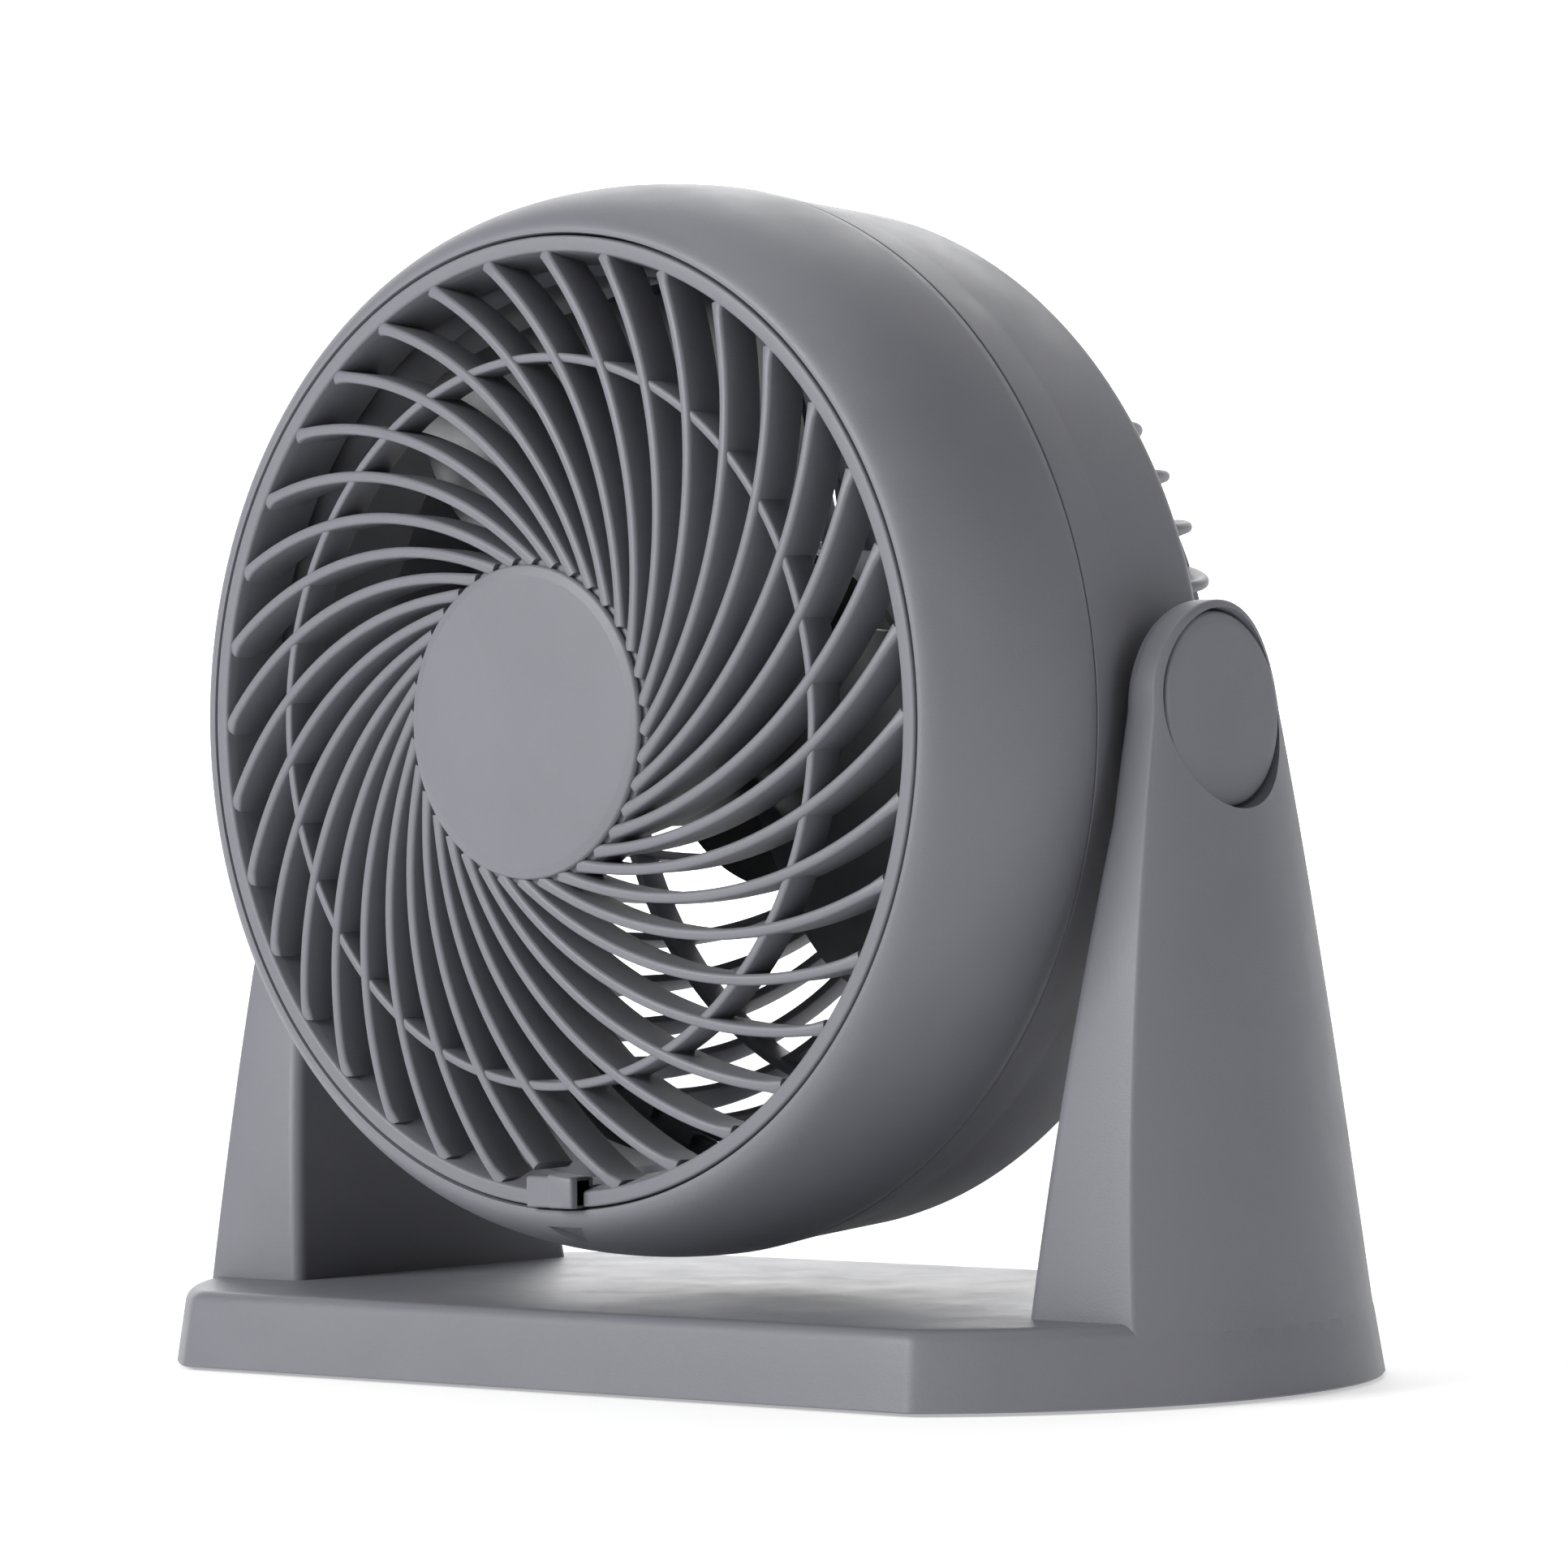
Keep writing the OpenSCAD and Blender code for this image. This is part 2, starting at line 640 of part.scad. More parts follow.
module impeller() {
    camber_r = tip_r * 1.1;
    mid_f = (imp_back + imp_front) / 2;
    inner_r = imp_hub_r - 1;
    sweep = 78;
    color(dark) on_head() rotate(blade_phase) {
        for (i = [0 : blade_n - 1]) rotate(i * 360 / blade_n) intersection() {
            translate([0, 0, imp_back]) rotate_extrude(start = -sweep / 2, angle = sweep)
                translate([inner_r, 0]) square([tip_r - inner_r, imp_front - imp_back]);
            translate([0, 0, mid_f]) rotate([blade_pitch, 0, 0]) translate([0, 0, -camber_r + 5])
                rotate([0, 90, 0]) difference() {
                    cylinder(r = camber_r + blade_t / 2, h = 200);
                    translate([0, 0, -1]) cylinder(r = camber_r - blade_t / 2, h = 202);
                }
            translate([0, -100, imp_back]) cube([200, 200, imp_front - imp_back]);
        }
        difference() {
            union() {
                tube(imp_hub_r, imp_hub_r - imp_hub_t, imp_back, imp_front);
                rod(imp_hub_r, imp_front - imp_hub_t, imp_front);
                rod(imp_boss_r, imp_front - 22, imp_front);
            }
            rod(shaft_r + fit_c, imp_front - 30, imp_front + 1);
            rod(nut_r + 0.5, shaft_front - nut_t, imp_front + 1);
        }
    }
}

module impeller_nut() {
    color(dark) on_head() difference() {
        translate([0, 0, shaft_front - nut_t]) cylinder(r = nut_r, h = nut_t + 2.4, $fn = 6);
        rod(shaft_r + fit_c, shaft_front - nut_t - 1, shaft_front + 0.2);
    }
}

module motor_shaft() {
    color(steel) on_head() rod(shaft_r, shaft_back, shaft_front);
}

module rotor_core() {
    color(steel) on_head() difference() {
        union() {
            rod(rotor_r, motor_f - stack_t / 2, motor_f + stack_t / 2);
            rod(rotor_r - 1.5, motor_f - stack_t / 2 - 3, motor_f + stack_t / 2 + 3);
        }
        rod(shaft_r + fit_c / 2, motor_f - stack_t, motor_f + stack_t);
    }
}

// ---- motor ----

module stator_core() {
    color([0.45, 0.46, 0.48]) on_head() translate([0, 0, motor_f - stack_t / 2]) difference() {
        translate([-core_w / 2, -core_low]) cube([core_w, core_low + core_top, stack_t]);
        translate([0, 0, -1]) cylinder(r = rotor_r + free_c, h = stack_t + 2);
        translate([-window_w / 2, -core_low + limb_h, -1]) cube([window_w, window_h, stack_t + 2]);
        for (s = [-1, 1]) {
            translate([s * stud_x, stud_y, -1]) cylinder(r = stud_r + fit_c, h = stack_t + 2);
            translate([s * (rotor_r + 1) - 0.8, 2, -1]) cube([1.6, 3, stack_t + 2]);
            translate([s * (rotor_r + 1) - 0.8, -5, -1]) cube([1.6, 3, stack_t + 2]);
        }
    }
}

module limb_frame(grow_x, t, len_x) {
    w = stack_t + 2 * t;
    translate([-len_x / 2, -core_low - t, -w / 2]) cube([len_x, limb_h + 2 * t, w]);
}

module coil_bobbin() {
    color([0.85, 0.83, 0.76]) on_head() translate([0, 0, motor_f]) difference() {
        union() {
            limb_frame(0, 0.9, window_w - 2);
            for (s = [-1, 1]) translate([s * (window_w / 2 - 2), 0, 0]) limb_frame(0, 4.6, 1.4);
        }
        limb_frame(0, 0.1, 60);
        // the flange stops short of the rotor's block
        translate([-40, -core_low + limb_h + window_h - 0.3, -40]) cube([80, 40, 80]);
    }
}

module coil_winding() {
    color(copper) on_head() translate([0, 0, motor_f]) difference() {
        limb_frame(0, 4, window_w - 5.6);
        limb_frame(0, 1, 60);
    }
}

module shading_rings() {
    color(copper) on_head() for (s = [-1, 1], y = [-5, 2]) translate([s * (rotor_r + 1), y + 1.5, motor_f])
        for (f = [-1, 1]) translate([-0.6, -1.3, f > 0 ? stack_t / 2 + 0.1 : -stack_t / 2 - 1.3])
            cube([1.2, 2.6, 1.2]);
}

// A bridge's plate spans the stack on two posts and carries a bearing in its boss.
module bridge(dir) {
    plate_w = 2 * stud_x + 10;
    mirror([0, 0, dir > 0 ? 0 : 1]) difference() {
        union() {
            translate([-plate_w / 2, -7, bridge_f]) cube([plate_w, stud_y + 12, bridge_t]);
            for (s = [-1, 1]) translate([s * stud_x, stud_y, 0]) rod(3.4, stack_t / 2 + 0.1, bridge_f + 1);
            rod(bearing_r + 2, bridge_f - 3.2, bridge_f + bridge_t + 1.6);
            if (dir < 0) for (s = [-1, 1]) {
                translate([s * ear_x, 0, 0]) rod(ear_r, bridge_f, bridge_f + bridge_t);
                translate([s > 0 ? stud_x : -ear_x, -3, bridge_f]) cube([ear_x - stud_x, 6, bridge_t]);
            }
        }
        rod(bearing_r + fit_c / 2, bridge_f - 4, bridge_f + bridge_t + 2);
        for (s = [-1, 1]) {
            translate([s * stud_x, stud_y, 0]) rod(stud_r + fit_c, 0, bridge_f + 9);
            translate([s * ear_x, 0, 0]) rod(screw_r + fit_c, 0, bridge_f + 9);
        }
    }
}

module front_bridge() {
    color(steel) on_head() translate([0, 0, motor_f]) bridge(1);
}

module rear_bridge() {
    color(steel) on_head() translate([0, 0, motor_f]) bridge(-1);
}

module bearing(f) {
    color([0.62, 0.5, 0.3]) on_head() tube(bearing_r, shaft_r + run_c, f - bearing_l / 2, f + bearing_l / 2);
}

module front_bearing() { bearing(motor_f + bridge_f + 0.5); }

module rear_bearing() { bearing(motor_f - bridge_f - 0.5); }

module motor_studs() {
    plate = bridge_f + bridge_t;
    color(steel) on_head() for (s = [-1, 1]) translate([s * stud_x, stud_y, motor_f]) {
        rod(stud_r, -plate - 3, plate + 0.1);
        rod(2.8, plate + 0.1, plate + 2);
        translate([0, 0, -plate - 2.3]) cylinder(r = 3, h = 2.2, $fn = 6);
    }
}

module motor_mount_screws() {
    top = motor_f - bridge_f;
    color(steel) on_head() for (s = [-1, 1]) translate([s * ear_x, 0, 0]) {
        rod(screw_r, pod_f + 8, top + 0.1);
        rod(screw_head_r, top + 0.1, top + 2.1);
    }
}

module pod_cover() {
    color(dark) on_head() difference() {
        union() {
            rod(pod_r, pod_mouth + 0.1, pod_mouth + 2.1);
            tube(pod_r - pod_wall - 0.2, pod_r - pod_wall - 1.8, pod_mouth - 4, pod_mouth + 1);
        }
        rod(bearing_r + 3.5, pod_mouth - 10, pod_mouth + 10);
    }
}

// ---- switch, knob and cord entry ----

module switch_body() {
    f0 = pod_f + pod_wall + 0.1;
    color([0.2, 0.2, 0.22]) on_head() difference() {
        union() {
            translate([-switch_w / 2, -switch_w / 2, f0]) cube([switch_w, switch_w, switch_t]);
            rod(bush_r, pod_f - 0.2, f0 + 1);
            for (x = [-7, 0, 7]) translate([x - 1.2, -switch_w / 2 - 3, f0 + switch_t - 4]) cube([2.4, 3.5, 0.8]);
        }
        rod(spindle_r + run_c, pod_f - 2, f0 + switch_t - 3);
    }
}

module switch_nut() {
    color(steel) on_head() difference() {
        translate([0, 0, pod_f - 2.1]) cylinder(r = bush_r + 3, h = 2, $fn = 6);
        rod(bush_r + fit_c, pod_f - 4, pod_f + 1);
    }
}

module switch_spindle() {
    color(steel) on_head() rod(spindle_r, pod_f - 8, pod_f + pod_wall + switch_t - 4);
}

module speed_knob() {
    face = pod_f - knob_gap;
    color(dark) on_head() difference() {
        union() {
            rod(knob_r, face - 5, face);
            translate([0, 0, face - 6]) cylinder(r1 = knob_r - 1, r2 = knob_r, h = 1);
            translate([-3, -knob_r + 1, face - knob_t]) cube([6, 2 * knob_r - 2, knob_t - 5]);
        }
        rod(bush_r + 4, face - 3.4, face + 1);
        rod(spindle_r + fit_c / 2, face - 7.8, face + 1);
        for (k = [0 : 23]) rotate(k * 15) translate([knob_r + 0.6, 0, 0]) rod(1, face - 7, face + 1);
    }
}

module cord_gland() {
    color(dark) on_head() translate([0, gland_y, 0]) difference() {
        union() {
            rod(gland_r, pod_f, pod_f + pod_wall + 3);
            rod(gland_r + 1.5, pod_f + pod_wall + 0.1, pod_f + pod_wall + 2);
            translate([0, 0, pod_f - 7]) cylinder(r1 = gland_r - 1.2, r2 = gland_r, h = 7);
        }
        rod(cord_r, pod_f - 8, pod_f + pod_wall + 4);
    }
}

// A wire: straight lengths between points, each run a little past its ends.
module wire(points, r) {
    for (i = [0 : len(points) - 2]) {
        d = points[i + 1] - points[i];
        len_d = norm(d);
        translate(points[i]) rotate([0, acos(d[2] / len_d), atan2(d[1], d[0])]) translate([0, 0, -r / 2])
            cylinder(r = r, h = len_d + r, $fn = 10);
    }
}

module lead_wires() {
    f0 = pod_f + pod_wall + switch_t;
    low = -core_low - 4 - 2;
    color(dark) on_head() for (x = [-7, 0, 7]) wire([[x, -switch_w / 2 - 4, f0 - 3.5],
        [x * 0.9, -switch_w / 2 - 8, f0 - 1], [x * 0.5, low, f0 - 1], [x * 0.5, low, motor_f - 10]], 0.9);
}

stand();
rubber_feet();
pivot_cap_left();
pivot_cap_right();
front_housing();
rear_housing();
rear_grille();
pivot_screws();
friction_washers();
housing_screws();
front_grille();
hub_badge();
latch_tab();
impeller();
impeller_nut();
motor_shaft();
rotor_core();
stator_core();
coil_bobbin();
coil_winding();
shading_rings();
front_bridge();
rear_bridge();
front_bearing();
rear_bearing();
motor_studs();
motor_mount_screws();
pod_cover();
switch_body();
switch_nut();
switch_spindle();
speed_knob();
cord_gland();
lead_wires();
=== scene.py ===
"""Looks of a round desk fan on an oval stand, built round its fixed frame."""

import json
import math

import bmesh
import bpy
from bpy.props import FloatProperty, FloatVectorProperty, IntProperty, PointerProperty
from mathutils import Matrix, Vector


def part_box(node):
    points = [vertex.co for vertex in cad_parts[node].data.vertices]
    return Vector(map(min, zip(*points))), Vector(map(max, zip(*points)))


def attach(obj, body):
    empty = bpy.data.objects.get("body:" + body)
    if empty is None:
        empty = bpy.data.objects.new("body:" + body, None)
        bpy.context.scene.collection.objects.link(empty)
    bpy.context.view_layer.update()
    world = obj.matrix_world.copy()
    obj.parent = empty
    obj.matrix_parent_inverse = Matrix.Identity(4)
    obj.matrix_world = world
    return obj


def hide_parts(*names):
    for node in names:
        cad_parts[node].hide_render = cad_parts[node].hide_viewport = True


bl_info = {
    "name": "Round Desk Fan",
    "version": (1, 0, 0),
    "blender": (4, 5, 0),
    "location": "View3D > Sidebar > Desk Fan",
    "description": "Builds the mouldings, grilles, impeller and finishes of a round desk fan",
    "category": "Add Mesh",
}

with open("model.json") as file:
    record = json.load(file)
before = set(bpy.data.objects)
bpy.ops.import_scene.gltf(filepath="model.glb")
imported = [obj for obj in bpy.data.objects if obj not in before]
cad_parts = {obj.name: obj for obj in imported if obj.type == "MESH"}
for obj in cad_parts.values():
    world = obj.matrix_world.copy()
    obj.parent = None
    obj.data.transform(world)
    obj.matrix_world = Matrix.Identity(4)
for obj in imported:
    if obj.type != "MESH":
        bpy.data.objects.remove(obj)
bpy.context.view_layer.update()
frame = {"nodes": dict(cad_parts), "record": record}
MM = 0.001
JOINTS = {j["name"]: j for j in frame["record"]["behaviour"]["joints"]}
AXIS = Vector(JOINTS["head_tilt"]["pos_m"])


def span(node, axis):
    """Lowest and highest value of a frame node along an axis, in millimetres."""
    low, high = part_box(node)
    return low[axis] / MM, high[axis] / MM


# Places in millimetres, taken from the frame. "f" runs forward from the tilt axis along the fan's axis.
PIVOT_Y, PIVOT_Z = AXIS.y / MM, AXIS.z / MM
HOUSING_R = span("front_housing", 0)[1]
BASE_D = span("stand", 1)[1] * 2
HEAD = Matrix.Translation(AXIS) @ Matrix.Rotation(math.radians(90), 4, "X") @ Matrix.Scale(MM, 4)
WORLD = Matrix.Scale(MM, 4)


# ---- settings ----


def length(name, text, value, low, high):
    """A size in millimetres."""
    return FloatProperty(name=name, description=text, default=value, min=low, max=high, precision=2)


def colour(name, text, value):
    return FloatVectorProperty(name=name, description=text, default=value, size=3, min=0, max=1, subtype="COLOR")


class FanSizes(bpy.types.PropertyGroup):
    """Sizes of the modelled pieces, in millimetres."""

    rim_w: length("Rim width", "Width of the housing's rounded front rim", 13.4, 8, 20)
    shell_wall: length("Shell wall", "Wall thickness of the housing shells", 2.5, 1, 4)
    ring_f: length("Ring face", "Distance from the tilt axis forward to the grille ring's face", 76.7, 60, 90)
    rear_f: length("Rear edge", "Distance from the tilt axis back to the housing's rear edge", 17.0, 10, 30)
    rib_t: length("Blade width", "Width of a front grille blade's face", 2.7, 1, 4)
    rib_d: length("Blade depth", "Depth of a front grille blade", 12.0, 6, 16)
    hub_r: length("Hub radius", "Radius of the grille's round centre", 36.5, 25, 50)
    mid_r: length("Middle ring", "Radius of the grille's middle support ring", 84.5, 60, 100)
    grille_dome: length("Dome", "How far the grille's middle stands in front of its ring", 9.0, 0, 15)
    rear_rib_t: length("Rear rib width", "Width of a rear grille rib", 2.8, 1, 4)
    rear_rib_d: length("Rear rib depth", "Depth of a rear grille rib", 7.0, 3, 12)
    dome_d: length("Rear dome", "Depth of the rear grille behind the housing", 48.0, 20, 60)
    pod_r: length("Pod radius", "Outer radius of the motor pod", 41.0, 30, 60)
    edge_r: length("Edge radius", "Radius of the stand's small moulded edges", 1.0, 0.2, 3)
    base_edge_r: length("Base edge", "Radius round the base's top face", 3.2, 0.5, 5)
    front_ribs: IntProperty(name="Front blades", description="Blades in the front grille", default=36, min=12, max=72)
    rear_ribs: IntProperty(name="Rear ribs", description="Ribs in the rear grille", default=48, min=12, max=72)
    blades: IntProperty(name="Impeller blades", description="Blades on the impeller", default=3, min=2, max=7)


class FanColours(bpy.types.PropertyGroup):
    """Base colours of the finishes; the impeller's grey is darkened below the body's as painted shade."""

    body: colour("Body", "Cool grey of the moulded shells", (0.170, 0.172, 0.195))
    # Painted shade: the impeller's grey is about half the body's so the blades look dark as if in the shade inside the
    # housing, not a darker plastic.
    inner: colour("Impeller", "Grey of the impeller", (0.085, 0.088, 0.096))
    dark: colour("Dark plastic", "Charcoal of the knob and inner covers", (0.030, 0.031, 0.034))
    pale: colour("Bobbin", "Cream of the coil's bobbin", (0.56, 0.52, 0.42))
    rubber: colour("Rubber", "Black of the feet and the cord's sleeve", (0.020, 0.020, 0.021))
    steel: colour("Steel", "Plated steel", (0.56, 0.56, 0.57))
    core: colour("Core", "Varnished laminations", (0.16, 0.155, 0.15))
    copper: colour("Copper", "Enamelled copper wire", (0.50, 0.17, 0.06))
    bronze: colour("Bronze", "Sintered bronze", (0.38, 0.24, 0.10))
    floor: colour("Floor", "Pale floor", (0.86, 0.86, 0.86))


# ---- shapes ----


def rounded(corners, closed=True, steps=4):
    """Points of an outline whose corners (x, y, radius) are rounded."""
    points = []
    count = len(corners)
    for i, (x, y, radius) in enumerate(corners):
        here = Vector((x, y))
        if radius <= 0 or (not closed and i in (0, count - 1)):
            points.append((x, y))
            continue
        back = Vector(corners[i - 1][:2]) - here
        ahead = Vector(corners[(i + 1) % count][:2]) - here
        half = back.angle(ahead) / 2
        reach = min(radius / math.tan(half), 0.49 * back.length, 0.49 * ahead.length)
        radius = reach * math.tan(half)
        start = here + back.normalized() * reach
        centre = here + (back.normalized() + ahead.normalized()).normalized() * (radius / math.sin(half))
        arm = start - centre
        turn = (math.pi - 2 * half) * (1 if back.cross(ahead) < 0 else -1)
        for k in range(steps + 1):
            spoke = Matrix.Rotation(turn * k / steps, 2) @ arm
            points.append(tuple(centre + spoke))
    return points


def spin(bm, points, steps=192, closed=True):
    """Turns an outline of (radius, forward) points round the local Z axis."""
    verts = [bm.verts.new((r, 0, f)) for r, f in points]
    pairs = list(zip(verts, verts[1:] + verts[:1])) if closed else list(zip(verts, verts[1:]))
    edges = [bm.edges.new(pair) for pair in pairs]
    bmesh.ops.spin(bm, geom=verts + edges, cent=(0, 0, 0), axis=(0, 0, 1), angle=2 * math.pi,
                   steps=steps, use_merge=True)


def sweep(bm, rings):
    """Extrudes a face through a list of outlines and closes both ends."""
    loop = [bm.verts.new(co) for co in rings[0]]
    face = bm.faces.new(loop)
    for i, ring in enumerate(rings[1:]):
        made = bmesh.ops.extrude_face_region(bm, geom=[face])["geom"]
        fresh = {g for g in made if isinstance(g, bmesh.types.BMVert)}
        if i:
            bmesh.ops.delete(bm, geom=[face], context="FACES_ONLY")
        face = next(g for g in made if isinstance(g, bmesh.types.BMFace))
        loop = [next(e.other_vert(v) for e in v.link_edges if e.other_vert(v) in fresh) for v in loop]
        for vert, co in zip(loop, ring):
            vert.co = co


def ring_array(bm, geom, count):
    """Copies geometry to count even places round the local Z axis."""
    bmesh.ops.spin(bm, geom=geom, cent=(0, 0, 0), axis=(0, 0, 1), angle=2 * math.pi * (count - 1) / count,
                   steps=count - 1, use_duplicate=True)


def grid(bm, across, along, place):
    """A grid whose points are put where place(u, v) says, with u and v from 0 to 1."""
    made = bmesh.ops.create_grid(bm, x_segments=across, y_segments=along, size=1)["verts"]
    for vert in made:
        vert.co = place((vert.co.x + 1) / 2, (vert.co.y + 1) / 2)
    return made


def block(bm, low, high):
    """A box between two corners."""
    made = bmesh.ops.create_cube(bm, size=1)["verts"]
    low, high = Vector(low), Vector(high)
    bmesh.ops.scale(bm, vec=high - low, verts=made)
    bmesh.ops.translate(bm, vec=(low + high) / 2, verts=made)
    return made


def soften(bm, width, angle=30, segments=2):
    """Bevels every edge that is sharper than an angle."""
    sharp = [e for e in bm.edges if len(e.link_faces) == 2 and e.calc_face_angle(0) > math.radians(angle)]
    bmesh.ops.bevel(bm, geom=sharp, offset=width, offset_type="OFFSET", affect="EDGES", segments=segments,
                    profile=0.5, material=-1, clamp_overlap=True)


def to_mesh(bm, name, place):
    """Cleans a bmesh, puts it in place and turns it into an object."""
    bmesh.ops.remove_doubles(bm, verts=bm.verts, dist=1e-3)
    bmesh.ops.recalc_face_normals(bm, faces=bm.faces)
    bmesh.ops.transform(bm, matrix=place, verts=bm.verts)
    mesh = bpy.data.meshes.new(name)
    bm.to_mesh(mesh)
    bm.free()
    obj = bpy.data.objects.new(name, mesh)
    bpy.context.scene.collection.objects.link(obj)
    return obj


def rod(name, low_r, high_r, start, stop, place, segments=96):
    """A closed round bar along Z of a placed frame, from start to stop."""
    bm = bmesh.new()
    made = bmesh.ops.create_cone(bm, cap_ends=True, segments=segments, radius1=low_r, radius2=high_r,
                                 depth=stop - start)["verts"]
    bmesh.ops.translate(bm, vec=(0, 0, (start + stop) / 2), verts=made)
    return to_mesh(bm, name, place)


def cut(obj, cutter):
    """Cuts one closed mesh with another and keeps the result."""
    mod = obj.modifiers.new("cut", "BOOLEAN")
    mod.operation = "DIFFERENCE"
    mod.solver = "EXACT"
    mod.object = cutter
    bpy.context.view_layer.update()
    mesh = bpy.data.meshes.new_from_object(obj.evaluated_get(bpy.context.evaluated_depsgraph_get()))
    obj.modifiers.clear()
    obj.data = mesh
    bpy.data.objects.remove(cutter)


def settle(obj, finish, body, nodes=(), smooth=32):
    """Shades a piece, gives it its finish and ties it to the frame."""
    obj.data.shade_smooth()
    obj.data.set_sharp_from_angle(angle=math.radians(smooth))
    obj.data.materials.clear()
    obj.data.materials.append(finish)
    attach(obj, body)
    if nodes:
        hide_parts(*nodes)


# ---- finishes ----


class Value:
    """A shader socket or number with the usual operators."""

    def __init__(self, shader, socket):
        self.shader, self.socket = shader, socket

    def math(self, operation, *others, clamp=False):
        links = [self, *others]
        return self.shader.node("ShaderNodeMath", {"operation": operation, "use_clamp": clamp},
                                dict(enumerate(links)))

    def __add__(self, other):
        return self.math("ADD", other)

    __radd__ = __add__

    def __mul__(self, other):
        return self.math("MULTIPLY", other)

    __rmul__ = __mul__

    def __sub__(self, other):
        return self.math("SUBTRACT", other)

    def __rsub__(self, other):
        return (self * -1) + other


class Shader:
    """Builds one material's nodes."""

    def __init__(self, name):
        self.material = bpy.data.materials.new(name)
        self.material.use_nodes = True
        self.tree = self.material.node_tree
        self.surface = self.tree.nodes["Principled BSDF"]
        coords = self.tree.nodes.new("ShaderNodeTexCoord")
        self.place = Value(self, coords.outputs["Object"])

    def node(self, kind, settings=None, inputs=None, output=0):
        made = self.tree.nodes.new(kind)
        for key, value in (settings or {}).items():
            setattr(made, key, value)
        for key, value in (inputs or {}).items():
            if isinstance(value, Value):
                self.tree.links.new(value.socket, made.inputs[key])
            else:
                made.inputs[key].default_value = value
        return Value(self, made.outputs[output])

    def noise(self, scale, detail=2.0, rough=0.5, place=None):
        return self.node("ShaderNodeTexNoise", {}, {"Vector": place or self.place, "Scale": scale,
                                                    "Detail": detail, "Roughness": rough})

    def ranged(self, value, low, high, to_low, to_high):
        return self.node("ShaderNodeMapRange", {"clamp": True}, {
            "Value": value, "From Min": low, "From Max": high, "To Min": to_low, "To Max": to_high})

    def mix(self, factor, one, two):
        return self.node("ShaderNodeMix", {"data_type": "RGBA"}, {0: factor, 6: one, 7: two}, 2)

    def bump(self, height, distance, strength=1.0, under=None):
        links = {"Height": height, "Distance": distance, "Strength": strength}
        if under:
            links["Normal"] = under
        return self.node("ShaderNodeBump", {}, links)

    def set(self, **sockets):
        for key, value in sockets.items():
            key = key.replace("_", " ")
            if isinstance(value, Value):
                self.tree.links.new(value.socket, self.surface.inputs[key])
            else:
                self.surface.inputs[key].default_value = value
        return self.material


def shade(rgb, gain):
    return (*(min(1.0, c * gain) for c in rgb), 1.0)


def moulded(name, rgb, rough=0.46, grain=1.0, spread=0.05):
    """Moulded plastic with a fine spark-eroded texture, faint flow mottling and a little dust."""
    s = Shader(name)
    grains = s.noise(2600, 2.0, 0.55)
    pebbles = s.node("ShaderNodeTexVoronoi", {"feature": "SMOOTH_F1"},
                     {"Vector": s.place, "Scale": 1900, "Smoothness": 0.6})
    flow = s.noise(14, 3.0, 0.6)
    haze = s.noise(55, 4.0, 0.62)
    tone = s.ranged(flow * 0.6 + haze * 0.4, 0.3, 0.7, 0, 1)
    pits = s.ranged(grains, 0.35, 0.7, 0, 1)
    base = s.mix(tone, shade(rgb, 1 - spread), shade(rgb, 1 + spread))
    colour_out = s.mix(pits * 0.35, base, shade(rgb, 1 + 2.4 * spread))
    relief = s.bump(grains * 0.65 + pebbles * 0.35, 0.00007 * grain, 0.8)
    wave = s.bump(s.noise(38, 2.0), 0.00035, 0.18, relief)
    gloss = s.ranged(haze, 0.3, 0.7, rough - 0.04, rough + 0.05)
    return s.set(Base_Color=colour_out, Roughness=gloss + pits * 0.05, Normal=wave, IOR=1.5)


def rubber_finish(name, rgb):
    """Matt black rubber with bloom and fine pores."""
    s = Shader(name)
    bloom = s.ranged(s.noise(120, 4.0, 0.6), 0.35, 0.75, 0, 1)
    pores = s.noise(1800, 2.0)
    return s.set(Base_Color=s.mix(bloom, shade(rgb, 0.8), shade(rgb, 2.0)), Roughness=0.78 + bloom * 0.12,
                 Normal=s.bump(pores, 0.00005, 0.7))


def plated(name, rgb, rough=0.32):
    """Zinc-plated steel with a satin grain and faint stains."""
    s = Shader(name)
    drawn = s.node("ShaderNodeMapping", {}, {"Vector": s.place, "Scale": (1.0, 0.06, 1.0)})
    grain = s.noise(2400, 3.0, 0.6, drawn)
    stain = s.ranged(s.noise(160, 4.0, 0.65), 0.35, 0.7, 0, 1)
    return s.set(Base_Color=s.mix(stain, shade(rgb, 0.78), shade(rgb, 1.12)), Metallic=1.0,
                 Roughness=s.ranged(grain, 0.3, 0.7, rough - 0.06, rough + 0.12) + stain * 0.06,
                 Normal=s.bump(grain, 0.00003, 0.5))


def laminated(name, rgb):
    """A varnished stack of thin sheets, lined across the fan's axis."""
    s = Shader(name)
    sheets = s.node("ShaderNodeTexWave", {"wave_type": "BANDS", "bands_direction": "Y"},
                    {"Vector": s.place, "Scale": 320.0, "Distortion": 0.4, "Detail": 1.0}, 1)
    stain = s.ranged(s.noise(220, 4.0, 0.6), 0.35, 0.7, 0, 1)
    return s.set(Base_Color=s.mix(sheets * 0.6 + stain * 0.4, shade(rgb, 0.55), shade(rgb, 1.5)),
                 Metallic=0.85, Roughness=0.42 + stain * 0.12, Normal=s.bump(sheets, 0.00012, 0.6))


